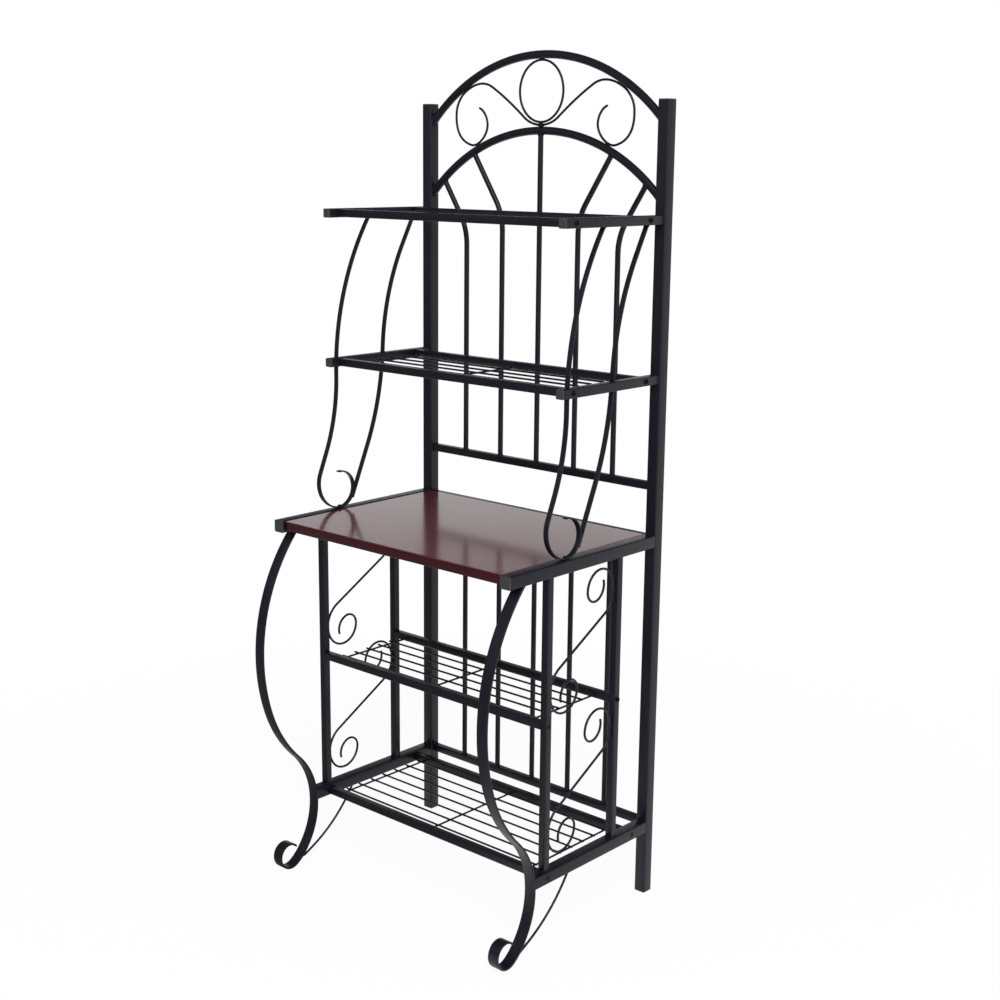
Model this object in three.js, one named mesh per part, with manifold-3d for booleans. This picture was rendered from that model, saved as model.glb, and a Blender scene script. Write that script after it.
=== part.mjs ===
// Bakers rack: a steel frame with an arched scrollwork back, side bars bent like an S,
// flat-bar legs that end in curls, four wire shelves and a wooden table.
// Millimetres. X runs to the right, Y to the back and Z up.
// The pieces are placed from the front faces of the rear posts (Y = 0), the floor (Z = 0)
// and the middle of the rack (X = 0). At the end the rack is moved so that the origin is
// on the floor, under the middle of its depth.

import * as THREE from "three";
import { mergeVertices } from "three/addons/utils/BufferGeometryUtils.js";
import Module from "manifold-3d";

const wasm = await Module();
wasm.setup();

// Overall sizes. Heights are of upper faces, and a rise is from one such height to the next.
const rackWidth = 645;
const bottomRailHeight = 159.5;
const lowerShelfRise = 300.2;
const tableHeight = 766.6;
const middleShelfRise = 319;
const topShelfRise = 303.6;
const postRise = 213.8;
const archRise = 91;
const bottomRailLength = 347;
const tableDepth = 431;
const shelfDepth = 288.5;

// Tubes and bars
const frameWidth = 25;
const frameDepth = 25;
const frameCorner = 2.5;
const shelfTube = 18;
const lightTube = 15.5;
const lightCorner = 1.5;
const tubeWall = 1.2;
const archTube = 16;
const barDiameter = 11;
const scrollWire = 4.8;
const gridWire = 4;
const legWidth = 25;
const legThickness = 4;
const sideBarWidth = 11;
const sideBarThickness = 3;

// Clearances, and how deep welded rods sink into what carries them
const weldGap = 0.3;
const weldSink = 0.5;
const plugClearance = 0.4;
const cutOverrun = 5;

// Facets: a bend's chords leave its true arc by no more than the sag
const bendSag = 0.25;
const wireSag = 0.4;
const tubeSides = 10;
const barSides = 8;
const boreSides = 6;
const wireSides = 6;
const cornerFacets = 1;

// Arched back panel
const archRadius = 416.5;
const archSpacing = 147.4;
const ringWidth = 118.6;
const upperRailRise = 95.8;
const barPitch = 101.2;
const barBendRadius = 115;
const barBendAngle = 33;
const outerBarBendDrop = 235.1;
const innerBarBendDrop = 203.6;

// Lower back panel
const lowerBackRailDrop = 6.5;
const lowerBackTopDrop = 3;

// Shelves
const shelfFrontInset = 29.5;
const shelfBackInset = 39.5;
const shelfWirePitch = 38.5;
const shelfWireCount = 5;
const crossWireInset = 32;
const wireOvershoot = 8;
const bottomFrontInset = 36.5;
const bottomBackInset = 46.5;
const bottomWirePitch = 36;
const bottomWireCount = 7;
const frontPostInset = 36;
const rearPostInset = 103;
const lowerWirePitch = 34.4;
const lowerWireCount = 6;

// Table
const boardThickness = 19;
const boardFrontInset = 6;
const boardSideGap = 0.8;
const boardDrop = 1;
const boardEdgeRound = 1.5;
const boardCorner = 4;
const tabLength = 30;
const tabReach = 22;
const tabThickness = 3;
const frontTabInset = 51;
const rearTabInset = 45;
const tabHole = 4.6;
const screwDepth = 11;

// Plastic end caps
const capThickness = 3;
const capRound = 1;
const capPlugLength = 14;

// Bolt holes
const boltHole = 6.8;
const loopBoltHole = 5.6;
const holeSides = 8;

// Legs, with lengths as shares of the height under the table's rails, turns in degrees:
// the curl back from the floor, and the rise over the toe, the instep, the heel, the shin
// and the bulge
const legCurlShares = [
  { radiusShare: 0.038, turn: -120 },
  { radiusShare: 0.0317, turn: -112 },
];
const legRiseShares = [
  { radiusShare: 0.038, turn: 31.8 },
  { radiusShare: 0.1161, turn: 16.3 },
  { radiusShare: 0.2198, turn: 86.9 },
  { radiusShare: 0.3946, turn: -26.7 },
  { radiusShare: 0.5274, turn: -65 },
];

// Braces between the bottom rails and the feet, with shares of the height under the rails
const braceInset = 112;
const braceHeading = 238;
const braceShares = [{ radiusShare: 2.2677, turn: -31 }, { runShare: 0.2 }];

// Side bars, with shares of the height between the table and the top shelf's rails.
// Each pair meets in a loop that stands on the table's rail.
const loopInset = 168;
const loopTipShares = [
  { radiusShare: 0.0641, turn: 105.3 },
  { radiusShare: 0.0623, turn: 81.3 },
];
const frontBarShares = [
  { radiusShare: 0.0941, turn: -112.4 },
  { runShare: 0.0738 },
  { radiusShare: 0.6868, turn: 23 },
  { radiusShare: 0.9389, turn: -36 },
];
const rearBarHeading = 66.6;
const rearBarTailShare = 0.0132;
const rearBarShares = [
  { runShare: 0.1787 },
  { radiusShare: 0.978, turn: 20.2 },
  { runShare: 0.0127 },
  { radiusShare: 0.8412, turn: -25.3 },
  { runShare: 0.1486 },
];

// Scroll at each side of the arch, drawn on the flat between the two arches,
// with its lengths as shares of the clear height between them, turns in degrees
const archScrollShares = [
  { radiusShare: 0.516, turn: 43.1 },
  { runShare: 0.958 },
  { radiusShare: 0.801, turn: -47 },
  { radiusShare: 0.207, turn: -79.8 },
  { radiusShare: 0.859, turn: -60 },
  { radiusShare: 0.221, turn: -136.3 },
  { radiusShare: 0.537, turn: -39.6 },
];

// One half of a side scroll, from its middle, with lengths as shares of half its breadth
const sideScrollShares = [
  { runShare: 0.824 },
  { radiusShare: 0.552, turn: 92.1 },
  { radiusShare: 0.414, turn: 147.2 },
  { radiusShare: 0.234, turn: 109.9 },
  { radiusShare: 0.312, turn: 88.2 },
];
const sideScrollHeading = 210.1;
const upperScrollHeight = 595.5;
const lowerScrollHeight = 312.6;

// Places that follow from the sizes
const lowerShelfHeight = bottomRailHeight + lowerShelfRise;
const middleShelfHeight = tableHeight + middleShelfRise;
const topShelfHeight = middleShelfHeight + topShelfRise;
const postHeight = topShelfHeight + postRise;
const archApex = postHeight + archRise;
const innerApex = archApex - archSpacing;
const upperRailCentre = tableHeight + upperRailRise;
const lowerBackRailCentre = bottomRailHeight - lowerBackRailDrop;
const postX = (rackWidth - frameWidth) / 2;
const postInnerX = rackWidth / 2 - frameWidth;
const crossWireX = postInnerX - crossWireInset;
const panelY = frameDepth / 2;
const shelfFrontRailY = shelfFrontInset - shelfDepth;
const shelfBackRailY = -shelfBackInset;
const bottomFrontRailY = bottomFrontInset - bottomRailLength;
const bottomBackRailY = -bottomBackInset;
const frontInnerPostY = frontPostInset - bottomRailLength;
const rearInnerPostY = -rearPostInset;
const frontTabY = frontTabInset - tableDepth;
const rearTabY = -rearTabInset;
const loopY = loopInset - tableDepth;
const boardDepth = tableDepth - boardFrontInset;
const tableRailBottom = tableHeight - frameDepth;
const tableRailCentre = tableHeight - frameDepth / 2;
const bottomRailCentre = bottomRailHeight - frameDepth / 2;
const bottomRailUnderside = bottomRailHeight - frameDepth;
const lowerShelfCentre = lowerShelfHeight - lightTube / 2;
const boardTop = tableHeight - boardDrop;
const boardBottom = boardTop - boardThickness;
const topRailUnderside = topShelfHeight - shelfTube;
const middleRailUnderside = middleShelfHeight - shelfTube;

const steel = new THREE.MeshStandardMaterial({ color: 0x2c2b30, roughness: 0.45, metalness: 0.55 });
const plastic = new THREE.MeshStandardMaterial({ color: 0x3a3b3a, roughness: 0.55, metalness: 0 });
const wood = new THREE.MeshStandardMaterial({ color: 0x4e1713, roughness: 0.28, metalness: 0 });

const axisX = new THREE.Vector3(1, 0, 0);
const axisY = new THREE.Vector3(0, 1, 0);
const axisZ = new THREE.Vector3(0, 0, 1);

// Turns for a profile that was extruded along Z
const upright = new THREE.Matrix4();
const alongX = new THREE.Matrix4().makeBasis(axisY, axisZ, axisX);
const alongY = new THREE.Matrix4().makeBasis(axisZ, axisX, axisY);

const radians = THREE.MathUtils.degToRad;
const barPlaces = [-2, -1, 0, 1, 2];
const sides = [
  { side: "left", sign: -1 },
  { side: "right", sign: 1 },
];

const rack = new THREE.Group();

function addPiece(name, geometry, material, x = 0, y = 0, z = 0) {
  const mesh = new THREE.Mesh(geometry, material);
  mesh.name = name;
  mesh.position.set(x, y, z);
  rack.add(mesh);
}

// Booleans

function toSolid(geometry) {
  const bare = new THREE.BufferGeometry();
  bare.setAttribute("position", geometry.getAttribute("position").clone());
  if (geometry.index) {
    bare.setIndex(geometry.index.clone());
  }
  const merged = mergeVertices(bare);
  const mesh = new wasm.Mesh({
    numProp: 3,
    vertProperties: new Float32Array(merged.getAttribute("position").array),
    triVerts: new Uint32Array(merged.index.array),
  });
  return new wasm.Manifold(mesh);
}

function toGeometry(solid) {
  const mesh = solid.getMesh();
  const geometry = new THREE.BufferGeometry();
  geometry.setAttribute("position", new THREE.BufferAttribute(new Float32Array(mesh.vertProperties), 3));
  geometry.setIndex(new THREE.BufferAttribute(new Uint32Array(mesh.triVerts), 1));
  geometry.computeVertexNormals();
  return geometry;
}

function cut(geometry, tools) {
  const start = toSolid(geometry);
  const rest = tools.reduce((solid, tool) => solid.subtract(toSolid(tool)), start);
  return toGeometry(rest);
}

function keep(geometry, tool) {
  return toGeometry(toSolid(geometry).intersect(toSolid(tool)));
}

function join(geometries) {
  const solids = geometries.map(toSolid);
  return toGeometry(solids.reduce((whole, solid) => whole.add(solid)));
}

// A block between two opposite corners
function block(low, high) {
  const geometry = new THREE.BoxGeometry(high.x - low.x, high.y - low.y, high.z - low.z);
  return geometry.translate((low.x + high.x) / 2, (low.y + high.y) / 2, (low.z + high.z) / 2);
}

// A block as wide and deep as the rack, from one height to another
function slab(lowZ, highZ) {
  const low = new THREE.Vector3(-rackWidth, -rackWidth, lowZ);
  const high = new THREE.Vector3(rackWidth, rackWidth, highZ);
  return block(low, high);
}

// Profiles

function roundedRectangle(width, height, corner) {
  const x = width / 2 - corner;
  const y = height / 2 - corner;
  const quarter = Math.PI / 2;
  const shape = new THREE.Shape();
  shape.absarc(x, -y, corner, -quarter, 0);
  shape.absarc(x, y, corner, 0, quarter);
  shape.absarc(-x, y, corner, quarter, 2 * quarter);
  shape.absarc(-x, -y, corner, 2 * quarter, 3 * quarter);
  shape.closePath();
  return shape;
}

function rectanglePoints(width, height) {
  const x = width / 2;
  const y = height / 2;
  return [
    new THREE.Vector2(-x, -y),
    new THREE.Vector2(-x, y),
    new THREE.Vector2(x, y),
    new THREE.Vector2(x, -y),
  ];
}

function polygonPoints(diameter, count) {
  return Array.from({ length: count }, (_, i) => {
    const angle = (2 * Math.PI * (i + 0.5)) / count;
    return new THREE.Vector2((diameter / 2) * Math.cos(angle), (diameter / 2) * Math.sin(angle));
  });
}

function roundProfile(diameter, count, bore = 0) {
  const shape = new THREE.Shape(polygonPoints(diameter, count));
  if (bore > 0) {
    shape.holes.push(new THREE.Path(polygonPoints(bore, boreSides)));
  }
  return shape;
}

// Straight tubes with their middle at the origin

function extruded(shape, length, turn) {
  const options = { depth: length, bevelEnabled: false, curveSegments: cornerFacets };
  const geometry = new THREE.ExtrudeGeometry(shape, options);
  return geometry.translate(0, 0, -length / 2).applyMatrix4(turn);
}

function boxTube(width, height, corner, length, turn) {
  const shape = roundedRectangle(width, height, corner);
  const bore = rectanglePoints(width - 2 * tubeWall, height - 2 * tubeWall);
  shape.holes.push(new THREE.Path(bore));
  return extruded(shape, length, turn);
}

function lightTubeAlong(length, turn) {
  return boxTube(lightTube, lightTube, lightCorner, length, turn);
}

// Cross drilling: round holes through a tube, along X or along Z

function drill(diameter, length, place, turn = alongX) {
  const shape = new THREE.Shape(polygonPoints(diameter, holeSides));
  return extruded(shape, length, turn).translate(place.x, place.y, place.z);
}

// Bent stock

// Stations along a bend, on a plane with coordinates u and v. Each stretch is a straight run
// or an arc of a radius and a turn in degrees, positive to the left.
function bend(u, v, heading, stretches, sag = bendSag) {
  let angle = radians(heading);
  const stations = [{ u, v, angle }];
  for (const { run, radius, turn } of stretches) {
    const last = stations[stations.length - 1];
    if (run !== undefined) {
      stations.push({ u: last.u + run * Math.cos(angle), v: last.v + run * Math.sin(angle), angle });
      continue;
    }
    const side = Math.sign(turn);
    const centreU = last.u - side * radius * Math.sin(angle);
    const centreV = last.v + side * radius * Math.cos(angle);
    const widest = 2 * Math.acos(1 - Math.min(sag / radius, 1));
    const count = Math.ceil(Math.abs(radians(turn)) / widest);
    for (let i = 1; i <= count; i += 1) {
      const now = angle + (radians(turn) * i) / count;
      const stationU = centreU + side * radius * Math.sin(now);
      const stationV = centreV - side * radius * Math.cos(now);
      stations.push({ u: stationU, v: stationV, angle: now });
    }
    angle += radians(turn);
  }
  return stations;
}

// The same stations walked the other way
function turnedBack(stations) {
  const reversed = stations.slice().reverse();
  return reversed.map(({ u, v, angle }) => ({ u, v, angle: angle + Math.PI }));
}

function shifted(stations, du, dv) {
  return stations.map(({ u, v, angle }) => ({ u: u + du, v: v + dv, angle }));
}

// A curve that passes through its points and is cut into facets at them alone
class BentCurve extends THREE.Curve {
  constructor(points) {
    super();
    this.points = points;
  }

  getPoint(t) {
    return this.points[Math.round(t * (this.points.length - 1))].clone();
  }

  getPointAt(t) {
    return this.getPoint(t);
  }

  getTangentAt(t) {
    const last = this.points.length - 1;
    const i = Math.round(t * last);
    const ahead = this.points[Math.min(i + 1, last)];
    const behind = this.points[Math.max(i - 1, 0)];
    return ahead.clone().sub(behind).normalize();
  }
}

function bentRod(points, shape) {
  const extrudePath = new BentCurve(points);
  return new THREE.ExtrudeGeometry(shape, { steps: points.length - 1, extrudePath });
}

function sidePoints(stations, x) {
  return stations.map(({ u, v }) => new THREE.Vector3(x, u, v));
}

function frontPoints(stations, y) {
  return stations.map(({ u, v }) => new THREE.Vector3(u, y, v));
}

// The line at a distance to the left of the stations
function offsetLine(stations, distance) {
  return stations.map(({ u, v, angle }) => {
    return new THREE.Vector2(u - distance * Math.sin(angle), v + distance * Math.cos(angle));
  });
}

// Flat bar bent on its flat: its edge outline, extruded across its width
function flatBar(stations, thickness, width, x) {
  const outer = offsetLine(stations, thickness / 2);
  const inner = offsetLine(stations, -thickness / 2);
  const shape = new THREE.Shape([...outer, ...inner.reverse()]);
  return extruded(shape, width, alongX).translate(x, 0, 0);
}

// Plastic cap for a tube's end: a flange with a rounded edge on a plug, the flange up

function capGeometry() {
  const width = frameWidth - 2 * capRound;
  const depth = frameDepth - 2 * capRound;
  const shape = roundedRectangle(width, depth, frameCorner - capRound);
  const options = {
    depth: capThickness - 2 * capRound,
    bevelThickness: capRound,
    bevelSize: capRound,
    bevelSegments: 1,
    curveSegments: cornerFacets,
  };
  const flange = new THREE.ExtrudeGeometry(shape, options).translate(0, 0, capRound);
  const inset = tubeWall + plugClearance;
  const low = new THREE.Vector3(inset - frameWidth / 2, inset - frameDepth / 2, -capPlugLength);
  const high = new THREE.Vector3(frameWidth / 2 - inset, frameDepth / 2 - inset, capRound);
  return join([flange, block(low, high)]);
}

function shelfCapGeometry() {
  const shape = roundedRectangle(shelfTube, shelfTube, lightCorner);
  const flange = new THREE.ExtrudeGeometry(shape, {
    depth: capThickness,
    bevelEnabled: false,
    curveSegments: cornerFacets,
  });
  const half = shelfTube / 2 - tubeWall - plugClearance;
  const low = new THREE.Vector3(-half, -half, -capPlugLength);
  const high = new THREE.Vector3(half, half, capRound);
  return join([flange, block(low, high)]);
}

// Rear posts with their caps and feet

function rearPosts() {
  const low = capThickness + weldGap;
  const high = postHeight - capThickness - weldGap;
  for (const { side, sign } of sides) {
    const tube = boxTube(frameWidth, frameDepth, frameCorner, high - low, upright);
    addPiece(`${side}_rear_post`, tube, steel, sign * postX, panelY, (low + high) / 2);
  }
}

function postEnds() {
  const turnedOver = new THREE.Matrix4().makeRotationX(Math.PI);
  for (const { side, sign } of sides) {
    const cap = capGeometry();
    addPiece(`${side}_post_cap`, cap, plastic, sign * postX, panelY, postHeight - capThickness);
    const foot = cap.clone().applyMatrix4(turnedOver);
    addPiece(`${side}_rear_foot`, foot, plastic, sign * postX, panelY, capThickness);
  }
}

// Arched back panel

// Points of an arch a little longer than the space between the posts
function archPoints(apex) {
  const half = Math.asin((postInnerX + archTube) / archRadius);
  const heading = THREE.MathUtils.radToDeg(half);
  const u = -archRadius * Math.sin(half);
  const v = apex - archRadius + archRadius * Math.cos(half);
  return frontPoints(bend(u, v, heading, [{ radius: archRadius, turn: -2 * heading }]), panelY);
}

function arch(name, apex) {
  const bore = archTube - 2 * tubeWall;
  const tube = bentRod(archPoints(apex), roundProfile(archTube, tubeSides, bore));
  const reach = postInnerX - weldGap;
  const low = new THREE.Vector3(-reach, -archTube, apex - archRadius);
  const high = new THREE.Vector3(reach, frameDepth + archTube, apex + archTube);
  addPiece(name, keep(tube, block(low, high)), steel);
}

// Height of an arch's centre line and the cosine of its slope, at a distance from the middle
function archHeight(apex, x) {
  return apex - archRadius + Math.sqrt(archRadius ** 2 - x ** 2);
}

function archCosine(x) {
  return Math.sqrt(1 - (x / archRadius) ** 2);
}

// Between the arches: a height on the flat drawing, bent up with them
const wireSeat = archTube / 2 + scrollWire / 2 + weldGap;
const archClear = archSpacing - 2 * wireSeat;

function bentUp(x, v) {
  const low = archHeight(innerApex, x) + wireSeat / archCosine(x);
  const high = archHeight(archApex, x) - wireSeat / archCosine(x);
  return low + ((high - low) * v) / archClear;
}

function shares(table, unit) {
  return table.map(({ runShare, radiusShare, turn }) => {
    return runShare === undefined ? { radius: radiusShare * unit, turn } : { run: runShare * unit };
  });
}

// The drawing is stretched to touch both arches, however many facets its bends have
function flatScroll() {
  const flat = bend(weldGap, 0, 0, shares(archScrollShares, archClear), wireSag);
  const lowest = Math.min(...flat.map(({ v }) => v));
  const highest = Math.max(...flat.map(({ v }) => v));
  return flat.map(({ u, v }) => ({ u, v: ((v - lowest) * archClear) / (highest - lowest) }));
}

function archScrolls() {
  for (const { side, sign } of sides) {
    const points = flatScroll().map(({ u, v }) => new THREE.Vector3(sign * u, panelY, bentUp(u, v)));
    addPiece(`${side}_arch_scroll`, bentRod(points, roundProfile(scrollWire, wireSides)), steel);
  }
}

// The ring stands on the two scrolls and meets the outer arch
function archRing() {
  const [start] = flatScroll();
  const low = bentUp(start.u, start.v) + scrollWire + 2 * weldGap;
  const high = archApex - wireSeat;
  const radius = (ringWidth - scrollWire) / 2;
  const ring = new THREE.TorusGeometry(radius, scrollWire / 2, wireSides, ringFacets(radius));
  ring.rotateX(Math.PI / 2).scale(1, 1, (high - low) / (2 * radius));
  addPiece("arch_ring", ring, steel, 0, panelY, (low + high) / 2);
}

function ringFacets(radius) {
  return 4 * Math.ceil(Math.PI / 4 / Math.acos(1 - wireSag / radius));
}

// Rail with five bars that rise to the inner arch. All but the middle one bend outwards,
// and each top end is shaped to the arch's tube.
function upperBackPanel() {
  const foot = upperRailCentre + lightTube / 2 - weldSink;
  const shape = roundProfile(barDiameter, barSides);
  const archRod = bentRod(archPoints(innerApex), roundProfile(archTube + 2 * weldGap, tubeSides));
  const bars = barPlaces.map((place) => {
    const drop = Math.abs(place) === 2 ? outerBarBendDrop : innerBarBendDrop;
    const turn = -Math.sign(place) * barBendAngle;
    const stretches = [{ run: innerApex - drop - foot }];
    if (turn !== 0) {
      stretches.push({ radius: barBendRadius, turn });
    }
    const stations = bend(place * barPitch, foot, 90, stretches);
    const end = stations[stations.length - 1];
    const run = runToArch(end, innerApex);
    const tip = { u: end.u + run * Math.cos(end.angle), v: end.v + run * Math.sin(end.angle) };
    return cut(bentRod(frontPoints([...stations, tip], panelY), shape), [archRod]);
  });
  addPiece("upper_back_panel", join([backRail(upperRailCentre), ...bars]), steel);
}

// Straight distance from a station to the centre line of an arch
function runToArch({ u, v, angle }, apex) {
  const across = v - (apex - archRadius);
  const along = u * Math.cos(angle) + across * Math.sin(angle);
  const offCentre = u ** 2 + across ** 2 - archRadius ** 2;
  return Math.sqrt(along ** 2 - offCentre) - along;
}

function backRail(height) {
  const length = 2 * (postInnerX - weldGap);
  return lightTubeAlong(length, alongX).translate(0, panelY, height);
}

// Two rails with five straight bars between them
function lowerBackPanel() {
  const topCentre = tableHeight - lowerBackTopDrop - lightTube / 2;
  const length = topCentre - lowerBackRailCentre - lightTube + 2 * weldSink;
  const middle = (topCentre + lowerBackRailCentre) / 2;
  const bars = barPlaces.map((place) => {
    const bar = extruded(roundProfile(barDiameter, barSides), length, upright);
    return bar.translate(place * barPitch, panelY, middle);
  });
  const rails = [backRail(topCentre), backRail(lowerBackRailCentre)];
  addPiece("lower_back_panel", join([...rails, ...bars]), steel);
}

// Wire grid of a shelf: long wires along X lie on three cross wires along Y.
// The wires touch at the height of the rails' middle, where they are welded into each other.
function wireGrid(frontY, backY, pitch, count, longHalf) {
  const long = 2 * longHalf;
  const lift = (gridWire - weldSink) / 2;
  const middleY = (frontY + backY) / 2;
  const shape = roundProfile(gridWire, wireSides);
  const across = backY - frontY - lightTube - 2 * weldGap;
  const wires = [-1, 0, 1].map((place) => {
    return extruded(shape, across, alongY).translate(place * crossWireX, middleY, -lift);
  });
  for (let i = 0; i < count; i += 1) {
    const y = middleY + pitch * (i - (count - 1) / 2);
    wires.push(extruded(shape, long, alongX).translate(0, y, lift));
  }
  return join(wires);
}

// Top and middle shelf: side rails from the posts, front and back rails between them

function shelf(name, height) {
  const centre = height - shelfTube / 2;
  const railLength = shelfDepth - capThickness - 2 * weldGap;
  const railY = -weldGap - railLength / 2;
  const holes = [shelfFrontRailY, shelfBackRailY].map((y) => {
    return drill(boltHole, 2 * shelfTube, new THREE.Vector3(0, y - railY, 0));
  });
  const tube = boxTube(shelfTube, shelfTube, lightCorner, railLength, alongY);
  const drilled = cut(tube, holes);
  for (const { side, sign } of sides) {
    addPiece(`${name}_shelf_${side}_rail`, drilled, steel, sign * postX, railY, centre);
  }
  const across = 2 * (postX - shelfTube / 2 - weldGap);
  const rail = lightTubeAlong(across, alongX);
  addPiece(`${name}_shelf_front_rail`, rail, steel, 0, shelfFrontRailY, centre);
  addPiece(`${name}_shelf_back_rail`, rail, steel, 0, shelfBackRailY, centre);
  const half = crossWireX + wireOvershoot;
  const grid = wireGrid(shelfFrontRailY, shelfBackRailY, shelfWirePitch, shelfWireCount, half);
  addPiece(`${name}_shelf_wires`, grid, steel, 0, 0, centre);
}

// Caps at the front ends of the side rails
function shelfCaps(name, height) {
  const forwards = new THREE.Matrix4().makeRotationX(Math.PI / 2);
  const cap = shelfCapGeometry().applyMatrix4(forwards);
  const y = capThickness - shelfDepth;
  for (const { side, sign } of sides) {
    addPiece(`${name}_shelf_${side}_cap`, cap, plastic, sign * postX, y, height - shelfTube / 2);
  }
}

// Side bars

const barSeat = sideBarThickness / 2 + weldGap;
const loopZ = tableHeight + barSeat;

const barRise = topRailUnderside - tableHeight;

// From the tip of the loop down, forwards under it and up to the top shelf
function frontBarStations() {
  const tip = bend(loopY, loopZ, 0, shares(loopTipShares, barRise));
  const rise = bend(loopY, loopZ, 180, shares(frontBarShares, barRise));
  return [...turnedBack(tip), ...rise.slice(1)];
}

// From its tail, which lies against the back of the loop, up to the top shelf
function rearBarStations() {
  const angle = radians(rearBarHeading);
  const loopRadius = loopTipShares[0].radiusShare * barRise;
  const reach = loopRadius + sideBarThickness + weldGap;
  const touchY = loopY + reach * Math.sin(angle);
  const touchZ = loopZ + loopRadius - reach * Math.cos(angle);
  const tail = { run: rearBarTailShare * barRise };
  const y = touchY - tail.run * Math.cos(angle);
  const z = touchZ - tail.run * Math.sin(angle);
  return bend(y, z, rearBarHeading, [tail, ...shares(rearBarShares, barRise)]);
}

// Each bar is cut where the middle shelf's side rail passes, and ends under the top one's
function sideBars() {
  const low = slab(tableHeight, middleRailUnderside - weldGap);
  const high = slab(middleShelfHeight + weldGap, topRailUnderside - weldGap);
  for (const { side, sign } of sides) {
    const x = sign * postX;
    const hole = drill(loopBoltHole, 2 * cutOverrun, new THREE.Vector3(x, loopY, loopZ), upright);
    const front = cut(flatBar(frontBarStations(), sideBarThickness, sideBarWidth, x), [hole]);
    const rear = flatBar(rearBarStations(), sideBarThickness, sideBarWidth, x);
    addPiece(`${side}_front_s_bar_lower`, keep(front, low), steel);
    addPiece(`${side}_front_s_bar_upper`, keep(front, high), steel);
    addPiece(`${side}_rear_s_bar_lower`, keep(rear, low), steel);
    addPiece(`${side}_rear_s_bar_upper`, keep(rear, high), steel);
  }
}

// Table: side rails, their caps, the board and the tabs that carry it

function tableRails() {
  const length = tableDepth - capThickness - 2 * weldGap;
  const railY = -weldGap - length / 2;
  const tube = boxTube(frameDepth, frameWidth, frameCorner, length, alongY);
  const forwards = new THREE.Matrix4().makeRotationX(Math.PI / 2);
  for (const { side, sign } of sides) {
    const x = sign * postX;
    const rail = tube.clone().translate(x, railY, tableRailCentre);
    const hole = drill(loopBoltHole, 2 * cutOverrun, new THREE.Vector3(x, loopY, tableHeight), upright);
    const tabs = [frontTabY, rearTabY].map((y) => tab(sign, y));
    addPiece(`${side}_table_rail`, join([cut(rail, [hole]), ...tabs]), steel);
    const cap = capGeometry().applyMatrix4(forwards);
    addPiece(`${side}_table_rail_cap`, cap, plastic, x, capThickness - tableDepth, tableRailCentre);
  }
}

// Tab welded to the inner side of a table rail, with a hole for the screw that holds the board
function tab(sign, y) {
  const top = boardBottom - weldGap;
  const across = [sign * (postInnerX - tabReach), sign * (postInnerX + weldSink)];
  const low = new THREE.Vector3(Math.min(...across), y - tabLength / 2, top - tabThickness);
  const high = new THREE.Vector3(Math.max(...across), y + tabLength / 2, top);
  return cut(block(low, high), [screwHole(sign, y)]);
}

function screwHole(sign, y) {
  const x = sign * (postInnerX - tabReach / 2);
  return drill(tabHole, 2 * screwDepth, new THREE.Vector3(x, y, boardBottom), upright);
}

function tableTop() {
  const width = 2 * (postInnerX - boardSideGap);
  const depth = boardDepth - 2 * boardEdgeRound;
  const inner = roundedRectangle(width - 2 * boardEdgeRound, depth, boardCorner);
  const options = {
    depth: boardThickness - 2 * boardEdgeRound,
    bevelThickness: boardEdgeRound,
    bevelSize: boardEdgeRound,
    bevelSegments: 2,
    curveSegments: 2 * cornerFacets,
  };
  const board = new THREE.ExtrudeGeometry(inner, options);
  board.translate(0, -boardDepth / 2, boardBottom + boardEdgeRound);
  const holes = [];
  for (const { sign } of sides) {
    holes.push(screwHole(sign, frontTabY), screwHole(sign, rearTabY));
  }
  addPiece("table_top", cut(board, holes), wood);
}

// Lower side frames

function bottomRails() {
  const length = bottomRailLength - weldGap;
  const railY = -weldGap - length / 2;
  const holes = [bottomFrontRailY, bottomBackRailY].map((y) => {
    return drill(boltHole, 2 * frameWidth, new THREE.Vector3(0, y - railY, 0));
  });
  const drilled = cut(boxTube(frameDepth, frameWidth, frameCorner, length, alongY), holes);
  for (const { side, sign } of sides) {
    addPiece(`${side}_bottom_rail`, drilled, steel, sign * postX, railY, bottomRailCentre);
  }
}

function innerPosts() {
  const low = bottomRailHeight + weldGap;
  const high = tableRailBottom - weldGap;
  const middle = (low + high) / 2;
  const hole = drill(boltHole, 2 * lightTube, new THREE.Vector3(0, 0, lowerShelfCentre - middle));
  const post = cut(lightTubeAlong(high - low, upright), [hole]);
  for (const { side, sign } of sides) {
    addPiece(`${side}_front_inner_post`, post, steel, sign * postX, frontInnerPostY, middle);
    addPiece(`${side}_rear_inner_post`, post, steel, sign * postX, rearInnerPostY, middle);
  }
}

// Stations of a leg, from the tip of its curl over the floor and up, with the back of its heel
// against the bottom rail's front end
function legStations() {
  const floor = legThickness / 2;
  const curl = bend(0, floor, 180, shares(legCurlShares, tableRailBottom));
  const rise = bend(0, floor, 0, shares(legRiseShares, tableRailBottom));
  const heel = Math.max(...rise.filter(({ v }) => v < bottomRailHeight).map(({ u }) => u));
  const heelY = -bottomRailLength - weldGap - legThickness / 2;
  return shifted([...turnedBack(curl), ...rise.slice(1)], heelY - heel, 0);
}

// The top end is cut level, under the table rail
function legs() {
  const below = slab(-frameDepth, tableRailBottom - weldGap);
  for (const { side, sign } of sides) {
    const bar = flatBar(legStations(), legThickness, legWidth, sign * postX);
    addPiece(`${side}_leg`, keep(bar, below), steel);
  }
}

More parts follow.
